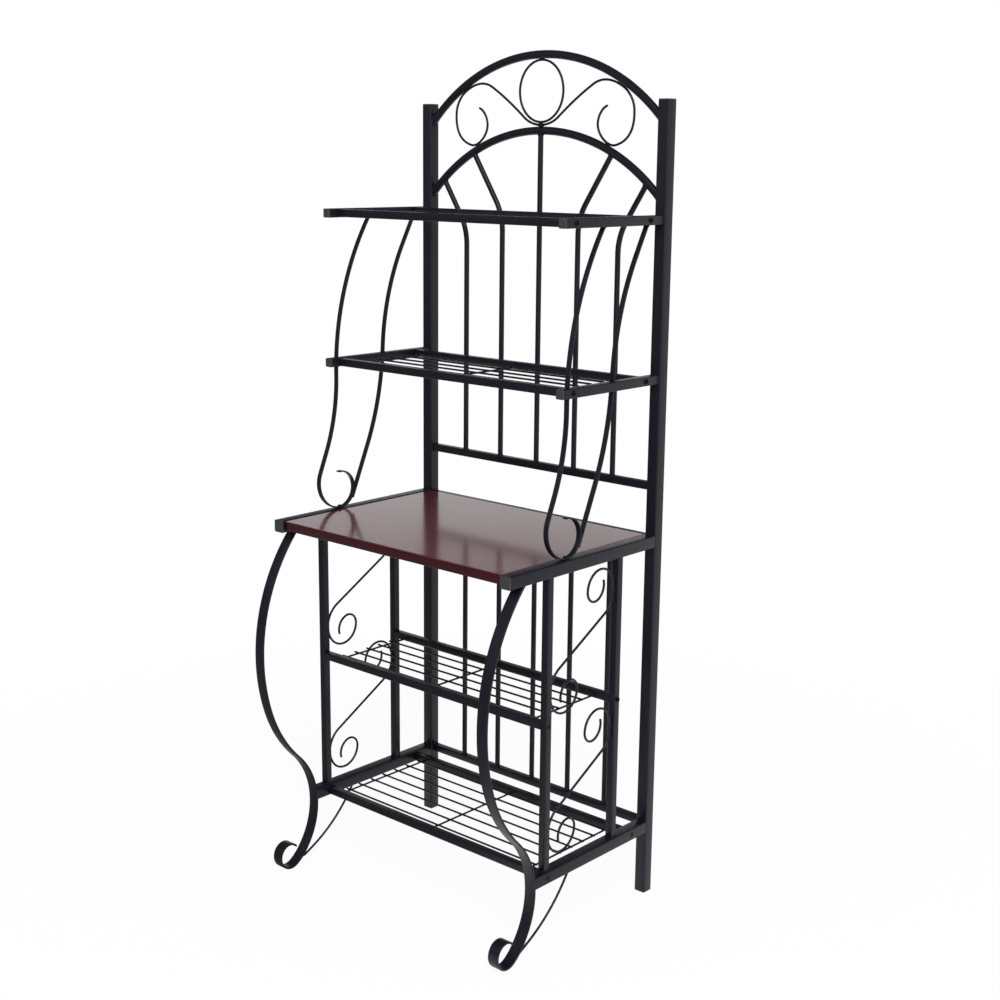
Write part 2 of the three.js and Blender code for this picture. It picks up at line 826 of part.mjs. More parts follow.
// Everything ahead of the backs of the legs, a clearance included
function aheadOfLegs() {
  const rise = legStations().filter(({ v, angle }) => v < bottomRailHeight && Math.cos(angle) > 0);
  const lastCurl = rise.findLastIndex(({ v }) => v <= legThickness / 2);
  const back = offsetLine(rise.slice(Math.max(lastCurl, 0)), -legThickness / 2 - weldGap);
  const top = back[back.length - 1];
  const shape = new THREE.Shape([
    ...back,
    new THREE.Vector2(-2 * tableDepth, top.y),
    new THREE.Vector2(-2 * tableDepth, back[0].y),
  ]);
  return extruded(shape, 2 * rackWidth, alongX);
}

// Wire stays from the bottom rails down to the feet, cut to the rail and to the leg
function braces() {
  const startY = braceInset - bottomRailLength;
  const stretches = shares(braceShares, bottomRailUnderside);
  const path = bend(startY, bottomRailUnderside, braceHeading, stretches, wireSag);
  const below = slab(0, bottomRailUnderside - weldGap);
  for (const { side, sign } of sides) {
    const rod = bentRod(sidePoints(path, sign * postX), roundProfile(scrollWire, wireSides));
    addPiece(`${side}_leg_brace`, cut(keep(rod, below), [aheadOfLegs()]), steel);
  }
}

// A side scroll fills the space between the two inner posts: its two halves are alike,
// turned half round about its middle
function sideScrollPoints(x, height) {
  const space = rearInnerPostY - frontInnerPostY - lightTube;
  const reach = space / 2 - scrollWire / 2 - weldGap;
  const unit = bend(0, 0, sideScrollHeading, shares(sideScrollShares, reach), wireSag);
  const widest = Math.max(...unit.map(({ u }) => Math.abs(u)));
  const half = unit.map(({ u, v }) => ({ u: (u * reach) / widest, v: (v * reach) / widest }));
  const otherHalf = half.map(({ u, v }) => ({ u: -u, v: -v })).reverse();
  const middleY = (frontInnerPostY + rearInnerPostY) / 2;
  const whole = [...otherHalf.slice(0, -1), ...half.slice(1)];
  return sidePoints(shifted(whole, middleY, height), x);
}

function sideScrolls() {
  const shape = roundProfile(scrollWire, wireSides);
  for (const { side, sign } of sides) {
    const upper = sideScrollPoints(sign * postX, upperScrollHeight);
    const lower = sideScrollPoints(sign * postX, lowerScrollHeight);
    addPiece(`${side}_upper_side_scroll`, bentRod(upper, shape), steel);
    addPiece(`${side}_lower_side_scroll`, bentRod(lower, shape), steel);
  }
}

// Lower and bottom shelves

function lowerShelf() {
  const rail = lightTubeAlong(2 * (postX - lightTube / 2 - weldGap), alongX);
  addPiece("lower_shelf_front_rail", rail, steel, 0, frontInnerPostY, lowerShelfCentre);
  addPiece("lower_shelf_back_rail", rail, steel, 0, rearInnerPostY, lowerShelfCentre);
  const half = crossWireX + wireOvershoot;
  const grid = wireGrid(frontInnerPostY, rearInnerPostY, lowerWirePitch, lowerWireCount, half);
  addPiece("lower_shelf_wires", grid, steel, 0, 0, lowerShelfCentre);
}

function bottomShelf() {
  const rail = lightTubeAlong(2 * (postInnerX - weldGap), alongX);
  addPiece("bottom_shelf_front_rail", rail, steel, 0, bottomFrontRailY, bottomRailCentre);
  addPiece("bottom_shelf_back_rail", rail, steel, 0, bottomBackRailY, bottomRailCentre);
  const half = crossWireX + wireOvershoot;
  const grid = wireGrid(bottomFrontRailY, bottomBackRailY, bottomWirePitch, bottomWireCount, half);
  addPiece("bottom_shelf_wires", grid, steel, 0, 0, bottomRailCentre);
}

rearPosts();
postEnds();
arch("outer_arch", archApex);
arch("inner_arch", innerApex);
archRing();
archScrolls();
upperBackPanel();
shelf("top", topShelfHeight);
shelf("middle", middleShelfHeight);
shelfCaps("top", topShelfHeight);
shelfCaps("middle", middleShelfHeight);
sideBars();
tableRails();
tableTop();
bottomRails();
innerPosts();
legs();
braces();
sideScrolls();
lowerShelf();
bottomShelf();
lowerBackPanel();

// The rack's depth runs from the legs' bulge to the backs of the posts
const box = new THREE.Box3().setFromObject(rack);
rack.position.y = -(box.min.y + box.max.y) / 2;

export default rack;
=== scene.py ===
# %% [markdown]
# # A bakers rack
#
# The real rack is made of black powder-coated steel: square tubes, two tube arches, round
# bars, bent flat bars and thin wire scrolls, all welded, with a lacquered board as its table.
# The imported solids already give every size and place, but their bends and rounds are cut
# into flat facets. This lesson makes each piece again as a smooth surface with numpy, adds
# the weld beads, bolts and screws, and gives each material a procedural finish.

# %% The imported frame
import math

import bpy
import numpy as np
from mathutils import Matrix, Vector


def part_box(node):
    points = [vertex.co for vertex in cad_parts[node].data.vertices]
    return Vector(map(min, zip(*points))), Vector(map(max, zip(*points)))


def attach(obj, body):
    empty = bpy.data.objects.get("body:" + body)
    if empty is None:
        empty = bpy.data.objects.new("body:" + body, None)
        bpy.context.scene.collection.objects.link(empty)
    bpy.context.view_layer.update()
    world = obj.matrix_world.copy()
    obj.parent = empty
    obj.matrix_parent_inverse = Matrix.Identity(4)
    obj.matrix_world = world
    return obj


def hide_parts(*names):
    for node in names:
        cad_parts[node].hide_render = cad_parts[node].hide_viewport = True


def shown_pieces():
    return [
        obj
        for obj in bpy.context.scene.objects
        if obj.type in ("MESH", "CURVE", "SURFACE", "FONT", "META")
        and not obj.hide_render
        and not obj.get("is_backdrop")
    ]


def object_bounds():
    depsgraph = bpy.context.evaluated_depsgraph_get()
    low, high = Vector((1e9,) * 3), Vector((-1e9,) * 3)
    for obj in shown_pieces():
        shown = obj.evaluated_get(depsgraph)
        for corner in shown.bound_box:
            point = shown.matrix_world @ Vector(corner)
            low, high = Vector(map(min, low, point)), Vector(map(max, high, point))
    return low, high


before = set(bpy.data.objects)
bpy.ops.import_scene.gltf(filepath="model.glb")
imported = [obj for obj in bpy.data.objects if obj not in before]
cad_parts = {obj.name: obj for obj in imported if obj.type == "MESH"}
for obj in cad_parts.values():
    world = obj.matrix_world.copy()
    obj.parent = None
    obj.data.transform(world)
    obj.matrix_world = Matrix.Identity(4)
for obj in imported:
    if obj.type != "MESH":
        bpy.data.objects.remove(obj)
cad_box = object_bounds()
MM = 0.001
X_AXIS, Y_AXIS, Z_AXIS = np.eye(3)


def corners(node):
    """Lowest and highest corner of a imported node, as arrays."""
    low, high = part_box(node)
    return np.array(low), np.array(high)


low, high = (np.array(corner) for corner in cad_box)
print("size in mm:", np.round((high - low) / MM, 1))

# %% [markdown]
# ## Lines
#
# Every bar and wire here was bent in a flat jig, so its middle line lies in one plane. A bend
# could be drawn with curve handles, but a bender thinks in lengths and turns: so much straight,
# then so many degrees round a former. So a line is worked out from its direction, which stays
# the same along a straight run and turns evenly along an arc.

# %% Lines bent in a plane
SPACING = 2.5 * MM


def bent(start, heading, stretches, unit=MM):
    """Points (u, v) of a wire bent in one plane, SPACING apart.

    Each stretch is (size, turn): a run of that size if turn is 0, else an arc of that radius
    through turn degrees. The direction is interpolated over the length at the middle of every
    step, and the steps (cos, sin) of the direction are summed."""
    sizes, turns = np.array(stretches, float).T
    sizes = sizes * unit
    lengths = np.where(turns == 0, sizes, sizes * np.abs(np.radians(turns)))
    knots = np.concatenate([[0], np.cumsum(lengths)])
    headings = np.radians(heading) + np.concatenate([[0], np.cumsum(np.radians(turns))])
    along = np.linspace(0, knots[-1], 2 + int(knots[-1] / SPACING))
    direction = np.interp((along[1:] + along[:-1]) / 2, knots, headings)
    steps = np.diff(along)[:, None] * np.stack([np.cos(direction), np.sin(direction)], axis=1)
    return np.vstack([start, np.asarray(start) + np.cumsum(steps, axis=0)])


def in_front(points, y):
    """Points (u, v) put on the plane that faces the front: u is X and v is Z."""
    return np.stack([points[:, 0], np.full(len(points), y), points[:, 1]], axis=1)


def at_side(points, x):
    """Points (u, v) put on the plane that faces the side: u is Y and v is Z."""
    return np.stack([np.full(len(points), x), points[:, 0], points[:, 1]], axis=1)


def between(points, low_z, high_z):
    """The stretch of a line on the side plane whose heights lie between two values."""
    return points[(points[:, 1] >= low_z) & (points[:, 1] <= high_z)]


# %% [markdown]
# ## Surfaces
#
# A bar is one section carried along its line. Its two ends are rounded off along a quarter
# circle, as a sawn and painted end is, and closed flat. The surface is a grid: one index runs
# along the line and the other round the section, so the whole of it is worked out at once.

# %% Sections
def circle(diameter, count=16):
    """Section (cos t, sin t) times the radius."""
    angle = np.linspace(0, 2 * math.pi, count, endpoint=False)
    return diameter / 2 * np.stack([np.cos(angle), np.sin(angle)], axis=1)


def rounded(width, height, corner, steps=5):
    """Section of a rectangle whose four corners are quarter circles."""
    angle = np.linspace(0, math.pi / 2, steps + 1)
    angles = np.concatenate([angle + quarter * math.pi / 2 for quarter in range(4)])
    sign = np.repeat([[1, 1], [-1, 1], [-1, -1], [1, -1]], steps + 1, axis=0)
    centre = sign * [width / 2 - corner, height / 2 - corner]
    return centre + corner * np.stack([np.cos(angles), np.sin(angles)], axis=1)


# %% A section carried along a line
EDGE_STEPS = 4


def rounded_ends(length, edge):
    """Where the stations of the two ends lie, and how far the section shrinks at each.

    On a quarter circle of radius edge, a station at angle t lies edge (1 - cos t) from the
    end and is inset by edge (1 - sin t). One more ring keeps the end itself flat."""
    quarter = np.linspace(0, math.pi / 2, EDGE_STEPS + 1)
    travel = np.concatenate([[0], edge * (1 - np.cos(quarter))])
    inset = np.concatenate([[2 * edge], edge * (1 - np.sin(quarter))])
    return travel, inset


def grid_faces(rows, columns, closed):
    """Quads between neighbouring stations and neighbouring points of the section."""
    i, j = np.meshgrid(np.arange(rows if closed else rows - 1), np.arange(columns), indexing="ij")
    next_i, next_j = (i + 1) % rows, (j + 1) % columns
    quads = np.stack([i * columns + j, i * columns + next_j, next_i * columns + next_j,
                      next_i * columns + j], axis=-1)
    return quads.reshape(-1, 4).tolist()


def sweep(line, normal, section, edge=0.4 * MM, closed=False, swell=None):
    """A section carried along a line that lies in the plane of that normal.

    Point (i, j) = line[i] + a[i] x[j] normal + b[i] y[j] across[i], where (x, y) is the
    section, across is the line's direction turned a quarter about the normal, and a and b
    are 1, but less near the two ends and where swell makes a bead thicker or thinner."""
    line = np.asarray(line, float)
    steps = np.roll(line, -1, axis=0) - np.roll(line, 1, axis=0)
    if not closed:
        steps = np.gradient(line, axis=0)
    inset = np.zeros(len(line))
    if not closed:
        reach = np.concatenate([[0], np.cumsum(np.linalg.norm(np.diff(line, axis=0), axis=1))])
        travel, shrink = rounded_ends(reach[-1], edge)
        middle = reach[(reach > 1.2 * edge) & (reach < reach[-1] - 1.2 * edge)]
        along = np.concatenate([travel, middle, reach[-1] - travel[::-1]])
        inset = np.concatenate([shrink, 0 * middle, shrink[::-1]])
        line = np.stack([np.interp(along, reach, line[:, k]) for k in range(3)], axis=1)
        steps = np.stack([np.interp(along, reach, steps[:, k]) for k in range(3)], axis=1)
    direction = steps / np.linalg.norm(steps, axis=1, keepdims=True)
    across = np.cross(direction, normal)
    half = np.abs(section).max(axis=0)
    size = np.clip(1 - inset[:, None] / half, 0.04, None)
    if swell is not None:
        size = size * swell(np.linspace(0, 1, len(line)))[:, None]
    flat = (size[:, 0, None] * section[:, 0])[:, :, None] * np.asarray(normal, float)
    tall = (size[:, 1, None] * section[:, 1])[:, :, None] * across[:, None, :]
    points = (line[:, None, :] + flat + tall).reshape(-1, 3)
    count = len(section)
    faces = grid_faces(len(line), count, closed)
    if not closed:
        faces.append(list(range(count))[::-1])
        faces.append(list(range(len(points) - count, len(points))))
    return points, faces


def rod(line, normal, diameter, count=16, edge=0.6 * MM):
    return sweep(line, normal, circle(diameter, count), edge)


# %% [markdown]
# ## Straight tubes
#
# Square tube is rolled from strip, so its long edges are rounded. Each straight tube takes its
# length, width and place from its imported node, and only the radius of its edges is added. It
# runs on by the gap that a weld leaves, so that no daylight shows at a joint.

# %% Tubes and caps from their nodes
WELD_GAP = 0.3 * MM


def bar_in(low, high, axis, reach, corner, edge):
    """A rounded section as wide and high as a box, carried along one axis over a reach."""
    size = high - low
    ends = np.repeat([(low + high) / 2], 2, axis=0)
    ends[:, axis] = reach
    section = rounded(size[(axis + 1) % 3], size[(axis + 2) % 3], corner)
    return sweep(ends, np.eye(3)[(axis + 1) % 3], section, edge)


def tube_in(low, high, corner, edge=0.3 * MM):
    """A rounded section along the longest side of the box between two corners."""
    run = int(np.argmax(high - low))
    return bar_in(low, high, run, (low[run] - WELD_GAP, high[run] + WELD_GAP), corner, edge)


# %% [markdown]
# ## Finishes
#
# Four finishes cover the rack: powder coat, lacquered board, moulded plastic and blackened
# steel. Shader maths is easier to read as sums than as boxes and wires, so a small class wraps
# a socket and lets Python's operators add the Math nodes.

# %% Shader maths
class Socket:
    """A shader socket that takes part in sums and products."""

    def __init__(self, shader, socket):
        self.shader = shader
        self.socket = socket

    def math(self, operation, *values):
        return self.shader.add("Math", {"operation": operation}, dict(enumerate([self, *values])))

    def __add__(self, other):
        return self.math("ADD", other)

    def __mul__(self, other):
        return self.math("MULTIPLY", other)

    def __sub__(self, other):
        return self.math("SUBTRACT", other)

    def __rsub__(self, other):
        return self.shader.add("Math", {"operation": "SUBTRACT"}, {0: other, 1: self})

    __radd__ = __add__
    __rmul__ = __mul__


class Shader:
    """The nodes of one material or world."""

    def __init__(self, owner):
        owner.use_nodes = True
        self.tree = owner.node_tree

    def feed(self, socket, value):
        if isinstance(value, Socket):
            self.tree.links.new(value.socket, socket)
        else:
            socket.default_value = value

    def add(self, kind, settings=None, inputs=None, output=0):
        """Any node: its settings are set first, then its sockets, by name or by number."""
        node = self.tree.nodes.new("ShaderNode" + kind)
        for name, value in (settings or {}).items():
            setattr(node, name, value)
        for key, value in (inputs or {}).items():
            self.feed(node.inputs[key], value)
        return Socket(self, node.outputs[output])

    def finish(self, **inputs):
        """Feeds the surface's own sockets, whose names are given with underscores."""
        surface = self.tree.nodes["Principled BSDF"]
        for name, value in inputs.items():
            self.feed(surface.inputs[name.replace("_", " ")], value)


def new_material(name):
    material = bpy.data.materials.new(name)
    return material, Shader(material)


def mix_colours(shader, factor, first, second):
    """The Mix node's colour sockets are numbers 6 and 7, and its colour result is number 2."""
    ends = [end if isinstance(end, Socket) else (*end, 1) for end in (first, second)]
    return shader.add("Mix", {"data_type": "RGBA"}, {0: factor, 6: ends[0], 7: ends[1]}, 2)


def smooth_ramp(shader, value, from_low, from_high, low, high):
    """An S-curve from low to high while the value goes from from_low to from_high."""
    sockets = {"Value": value, "From Min": from_low, "From Max": from_high, "To Min": low,
               "To Max": high}
    return shader.add("MapRange", {"interpolation_type": "SMOOTHSTEP"}, sockets)


# %% [markdown]
# Powder coat is sprayed on dry and melted: it flows into a soft skin with a faint orange peel
# and a half gloss. Its colour is almost black, a little blue. A fine noise makes the peel, and
# a slow one varies gloss and colour, because a coat is never even.

# %% Powder coat
COAT_COLOURS = (0.0052, 0.0048, 0.0088), (0.0078, 0.0073, 0.0125)
COAT_TINT = (0.95, 0.9, 1.0, 1.0)


def powder_coat():
    material, shader = new_material("black_powder_coat")
    place = shader.add("TexCoord", output=3)
    peel = shader.add("TexNoise", None, {"Vector": place, "Scale": 420, "Detail": 2})
    cloud = shader.add("TexNoise", None, {"Vector": place, "Scale": 9, "Detail": 3})
    colour = mix_colours(shader, cloud, *COAT_COLOURS)
    normal = shader.add("Bump", None, {"Strength": 0.12, "Distance": 0.0001, "Height": peel})
    shader.finish(Base_Color=colour, Roughness=0.3 + 0.14 * cloud, Normal=normal,
                  Specular_IOR_Level=0.27, Specular_Tint=COAT_TINT)
    return material


# %% [markdown]
# The board is a wood panel stained dark red-brown under a clear gloss lacquer. Long, thin grain
# runs along its length. The lacquer is the shader's coat, which reflects the pale background
# at a low angle, and that is what makes the board look light from the front. Just below the top
# surface the colour is made darker, which is painted shade on the board's edges, and the coat
# thins out there.

# %% Lacquered board
STAINS = (0.056, 0.004, 0.0065), (0.098, 0.0075, 0.012)
# The edges' colours are darker than the top's: painted shade on the board's sides.
EDGE_SHADED_STAINS = (0.02, 0.001, 0.001), (0.035, 0.0015, 0.0015)
STAIN_TINT = (1.0, 0.25, 0.55, 1.0)
GRAIN_STRETCH = (1.2, 30, 30)


def lacquered_board():
    material, shader = new_material("lacquered_board")
    place = shader.add("TexCoord", output=3)
    long_way = shader.add("Mapping", None, {"Vector": place, "Scale": GRAIN_STRETCH})
    grain = shader.add("TexNoise", None, {"Vector": long_way, "Scale": 6, "Detail": 6})
    pores = shader.add("TexNoise", None, {"Vector": long_way, "Scale": 28, "Detail": 2})
    height = shader.add("SeparateXYZ", None, {0: place}, "Z")
    top = corners("table_top")[1][2]
    on_top = smooth_ramp(shader, height, top - 2 * MM, top - 0.3 * MM, 0.0, 1.0)
    stain = mix_colours(shader, grain, *STAINS)
    # The darker colour below the top surface is painted shade on the edges.
    shaded_edge_stain = mix_colours(shader, grain, *EDGE_SHADED_STAINS)
    colour = mix_colours(shader, on_top, shaded_edge_stain, stain)
    normal = shader.add("Bump", None, {"Strength": 0.05, "Distance": 0.0002, "Height": pores})
    shader.finish(Base_Color=colour, Roughness=0.4 + 0.1 * grain, Normal=normal,
                  Specular_IOR_Level=0.35, Specular_Tint=STAIN_TINT,
                  Coat_Weight=0.35 + 0.65 * on_top, Coat_IOR=1.6, Coat_Roughness=0.16)
    return material


# %% [markdown]
# The end caps are moulded plastic, a greyer black than the steel, with the fine sandblasted
# texture that moulds are given to hide marks.

# %% Moulded plastic
PLASTIC_COLOURS = (0.024, 0.0235, 0.024), (0.037, 0.0365, 0.037)


def moulded_plastic():
    material, shader = new_material("moulded_plastic")
    place = shader.add("TexCoord", output=3)
    sand = shader.add("TexNoise", None, {"Vector": place, "Scale": 1800, "Detail": 3})
    colour = mix_colours(shader, sand, *PLASTIC_COLOURS)
    normal = shader.add("Bump", None, {"Strength": 0.3, "Distance": 0.00008, "Height": sand})
    shader.finish(Base_Color=colour, Roughness=0.5 + 0.1 * sand, Normal=normal)
    return material


# %% [markdown]
# Bolts and screws are zinc plated and then blackened, so they are steel with a thin dark skin:
# metallic, almost black, and a little glossier than the frame.

# %% Blackened steel of the bolts
BOLT_COLOURS = (0.007, 0.007, 0.0075), (0.018, 0.018, 0.019)


def blackened_steel():
    material, shader = new_material("blackened_steel")
    place = shader.add("TexCoord", output=3)
    speck = shader.add("TexNoise", None, {"Vector": place, "Scale": 900, "Detail": 2})
    colour = mix_colours(shader, speck, *BOLT_COLOURS)
    shader.finish(Base_Color=colour, Roughness=0.28 + 0.12 * speck, Metallic=1.0)
    return material


STEEL = powder_coat()
BOARD = lacquered_board()
PLASTIC = moulded_plastic()
BOLT = blackened_steel()

# %% [markdown]
# ## Pieces
#
# A piece is one object. It may hold several surfaces that are welded into each other, such as
# a rail with its bars. Smooth shading is kept wherever two faces meet at a shallow angle, and
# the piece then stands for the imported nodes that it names.

# %% Making a piece
SMOOTH_ANGLE = math.radians(40)


def piece(name, surfaces, material, nodes=()):
    points, faces, count = [], [], 0
    for surface_points, surface_faces in surfaces:
        points.append(surface_points)
        faces += [[count + index for index in face] for face in surface_faces]
        count += len(surface_points)
    mesh = bpy.data.meshes.new(name)
    mesh.from_pydata(np.vstack(points).tolist(), [], faces)
    mesh.validate()
    mesh.shade_smooth()
    mesh.set_sharp_from_angle(angle=SMOOTH_ANGLE)
    mesh.materials.append(material)
    made = bpy.data.objects.new(name, mesh)
    bpy.context.scene.collection.objects.link(made)
    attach(made, "root")
    if nodes:
        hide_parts(*nodes)


# %% [markdown]
# ## Posts, rails and caps
#
# All the square tubes are made in one go from their nodes. The frame tubes have the larger
# edge radius, and the light ones of the shelves and inner posts a smaller one.

# %% Square tubes
FRAME_CORNER = 2.5 * MM
LIGHT_CORNER = 1.5 * MM
SIDES = {"left": -1, "right": 1}

frame_tubes = [f"{side}_{name}" for side in SIDES for name in ("rear_post", "bottom_rail")]
light_tubes = [f"{side}_{end}_inner_post" for side in SIDES for end in ("front", "rear")]
light_tubes += [f"{shelf}_shelf_{name}_rail" for shelf in ("top", "middle")
                for name in ("left", "right", "front", "back")]
light_tubes += [f"{shelf}_shelf_{name}_rail" for shelf in ("lower", "bottom")
                for name in ("front", "back")]
for names, corner in ((frame_tubes, FRAME_CORNER), (light_tubes, LIGHT_CORNER)):
    for name in names:
        piece(name + "_tube", [tube_in(*corners(name), corner)], STEEL, [name])
print("square tubes:", len(frame_tubes) + len(light_tubes))

# %% [markdown]
# A cap is a flange with softly rounded edges on a plug that disappears into the tube. Only the
# flange shows, so the flange is what is made here, a little crowned like the real moulding.

# %% Caps and feet
CAP_THICKNESS = 3 * MM
CAP_EDGE = 1.1 * MM


def cap(low, high, axis, outward):
    """The flange at the outer end of a cap's box: a rounded section along a short line."""
    outer = high[axis] if outward > 0 else low[axis]
    reach = sorted([outer, outer - outward * CAP_THICKNESS])
    return bar_in(low, high, axis, reach, FRAME_CORNER, CAP_EDGE)


caps = {f"{side}_post_cap": (2, 1) for side in SIDES}
caps |= {f"{side}_rear_foot": (2, -1) for side in SIDES}
caps |= {f"{side}_table_rail_cap": (1, -1) for side in SIDES}
caps |= {f"{shelf}_shelf_{side}_cap": (1, -1) for shelf in ("top", "middle") for side in SIDES}
for name, (axis, outward) in caps.items():
    piece(name + "_flange", [cap(*corners(name), axis, outward)], PLASTIC, [name])
print("caps:", len(caps))

# %% [markdown]
# ## Arches and scrollwork
#
# Each arch is one round tube bent to a single radius, with its ends run into the posts. The
# ring and the scrolls between them are thin wire. The scroll is drawn on a flat strip as high
# as the clear space between the arches, and each of its points is then lifted to where the
# strip lies when it is bent up with them.

# %% Arches
ARCH_RADIUS = 416.5 * MM
ARCH_TUBE = 16 * MM
WIRE = 4.8 * MM

post_low, post_high = corners("left_rear_post")
POST_FRONT = post_low[1]
PANEL_Y = (post_low[1] + post_high[1]) / 2
INNER_X = -post_high[0]
POST_X = -(post_low[0] + post_high[0]) / 2
OUTER_APEX = corners("outer_arch")[1][2] - ARCH_TUBE / 2
INNER_APEX = corners("inner_arch")[1][2] - ARCH_TUBE / 2


def arch_height(apex, x):
    """Height of an arch's middle line: a circle's sqrt(R^2 - x^2), hung from its apex."""
    return apex - ARCH_RADIUS + np.sqrt(ARCH_RADIUS**2 - x**2)


def arch_cosine(x):
    return np.sqrt(1 - (x / ARCH_RADIUS) ** 2)


for name, apex in (("outer_arch", OUTER_APEX), ("inner_arch", INNER_APEX)):
    reach = math.asin((INNER_X + 2 * MM) / ARCH_RADIUS)
    x = ARCH_RADIUS * np.sin(np.linspace(-reach, reach, 140))
    line = in_front(np.stack([x, arch_height(apex, x)], axis=1), PANEL_Y)
    piece(name + "_tube", [rod(line, Y_AXIS, ARCH_TUBE, 32)], STEEL, [name])
print("rise of the arches in mm:", round((OUTER_APEX - arch_height(OUTER_APEX, INNER_X)) / MM))

# %% Scrolls between the arches
ARCH_SCROLL_SHARES = [(0.516, 43.1), (0.958, 0), (0.801, -47), (0.207, -79.8), (0.859, -60),
                      (0.221, -136.3), (0.537, -39.6)]
seat = ARCH_TUBE / 2 + WIRE / 2 + WELD_GAP
clear = OUTER_APEX - INNER_APEX - 2 * seat


def bent_up(x, v):
    """Lifts height v of the flat strip to the same share of the space between the arches."""
    bottom = arch_height(INNER_APEX, x) + seat / arch_cosine(x)
    top = arch_height(OUTER_APEX, x) - seat / arch_cosine(x)
    return bottom + (top - bottom) * v / clear


flat = bent((WELD_GAP, 0), 0, ARCH_SCROLL_SHARES, clear)
flat[:, 1] = (flat[:, 1] - flat[:, 1].min()) * clear / np.ptp(flat[:, 1])
scroll = np.stack([flat[:, 0], bent_up(*flat.T)], axis=1)
for side, sign in SIDES.items():
    line = in_front(scroll * [sign, 1], PANEL_Y)
    piece(f"{side}_arch_scroll_wire", [rod(line, Y_AXIS, WIRE)], STEEL, [f"{side}_arch_scroll"])
print("clear height between the arches in mm:", round(clear / MM, 1))

# %% Ring
ring_low, ring_high = corners("arch_ring")
ring_centre = (ring_low + ring_high) / 2
ring_half = (ring_high - ring_low) / 2 - WIRE / 2


def ellipse(centre, first, second, count=96):
    """Points centre + cos t first + sin t second."""
    angle = np.linspace(0, 2 * math.pi, count, endpoint=False)[:, None]
    return centre + np.cos(angle) * first + np.sin(angle) * second


ring = ellipse(ring_centre, ring_half[0] * X_AXIS, ring_half[2] * Z_AXIS)
piece("arch_ring_wire", [sweep(ring, Y_AXIS, circle(WIRE), closed=True)], STEEL, ["arch_ring"])
print("ring's half width and height in mm:", (ring_half[[0, 2]] / MM).round(1))

# %% [markdown]
# ## Back panels
#
# Five round bars stand on a light rail. The outer four bend outwards and run straight on until
# they meet the inner arch. Their lines are made a little too long and then kept only where they
# are inside the arch's circle, which trims each one at its own length.

# %% Bars and rails of the back
BAR = 11 * MM
LIGHT_TUBE = 15.5 * MM
BAR_PITCH = 101.2 * MM
BAR_BEND, BAR_BEND_ANGLE = 115, 33
BAR_COLUMNS = 20
BEND_DROPS = {0: 203.6 * MM, 1: 203.6 * MM, 2: 235.1 * MM}
SPARE = 220


def back_rail(low_z):
    low = np.array([-INNER_X + WELD_GAP, PANEL_Y - LIGHT_TUBE / 2, low_z])
    size = [2 * (INNER_X - WELD_GAP), LIGHT_TUBE, LIGHT_TUBE]
    return tube_in(low, low + size, LIGHT_CORNER)


def upper_bar(place):
    """Middle line of one bar, from the rail up to the inner arch's middle line."""
    foot = corners("upper_back_panel")[0][2] + LIGHT_TUBE - MM
    run = (INNER_APEX - BEND_DROPS[abs(place)] - foot) / MM
    stretches = [(run, 0), (BAR_BEND, -np.sign(place) * BAR_BEND_ANGLE), (SPARE, 0)]
    if place == 0:
        stretches = [(run + SPARE, 0)]
    points = bent((place * BAR_PITCH, foot), 90, stretches)
    off_centre = points - [0, INNER_APEX - ARCH_RADIUS]
    return points[np.linalg.norm(off_centre, axis=1) < ARCH_RADIUS - 3 * MM]


places = range(-2, 3)
upper_bars = [upper_bar(place) for place in places]
surfaces = [back_rail(corners("upper_back_panel")[0][2])]
surfaces += [rod(in_front(points, PANEL_Y), Y_AXIS, BAR, BAR_COLUMNS) for points in upper_bars]
piece("upper_back_bars", surfaces, STEEL, ["upper_back_panel"])

lower_low, lower_high = corners("lower_back_panel")
lower_span = lower_low[2] + LIGHT_TUBE - MM, lower_high[2] - LIGHT_TUBE + MM
surfaces = [back_rail(lower_low[2]), back_rail(lower_high[2] - LIGHT_TUBE)]
for place in places:
    line = np.array([[place * BAR_PITCH, PANEL_Y, z] for z in lower_span])
    surfaces.append(rod(line, Y_AXIS, BAR, BAR_COLUMNS))
piece("lower_back_bars", surfaces, STEEL, ["lower_back_panel"])
print("bars end at mm:", [np.round(points[-1] / MM).tolist() for points in upper_bars])

# %% [markdown]
# ## Wire shelves
#
# A shelf is a grid of thin wires: long ones lie on three cross wires, and the cross wires end
# at the front and back rails. Where two wires cross they are pressed together while hot, which
# leaves a tiny collar of squeezed metal.

# %% Wire grids
GRID_WIRE = 4 * MM
CROSS_INSET = 32 * MM
grids = {"top": (38.5 * MM, 5), "middle": (38.5 * MM, 5), "lower": (34.4 * MM, 6),
         "bottom": (36 * MM, 7)}


def straight(start, end):
    return np.array([start, end], float)


def shelf_wires(name):
    """The straight wires of a shelf, and the places where they cross."""
    low, high = corners(f"{name}_shelf_wires")
    pitch, count = grids[name]
    middle_y = (low[1] + high[1]) / 2
    upper, lower = high[2] - GRID_WIRE / 2, low[2] + GRID_WIRE / 2
    cross_x = (INNER_X - CROSS_INSET) * np.array([-1, 0, 1])
    wire_y = middle_y + pitch * (np.arange(count) - (count - 1) / 2)
    across = [straight((x, low[1] - MM, lower), (x, high[1] + MM, lower)) for x in cross_x]
    along = [straight((low[0], y, upper), (high[0], y, upper)) for y in wire_y]
    crossings = [(x, y, (upper + lower) / 2) for x in cross_x for y in wire_y]
    return across, along, crossings


for name in grids:
    across, along, _ = shelf_wires(name)
    surfaces = [rod(line, Z_AXIS, GRID_WIRE, 12, 1.4 * MM) for line in across + along]
    piece(f"{name}_shelf_grid", surfaces, STEEL, [f"{name}_shelf_wires"])
    print(f"{name} shelf: {len(along)} long wires and {len(across)} cross wires")

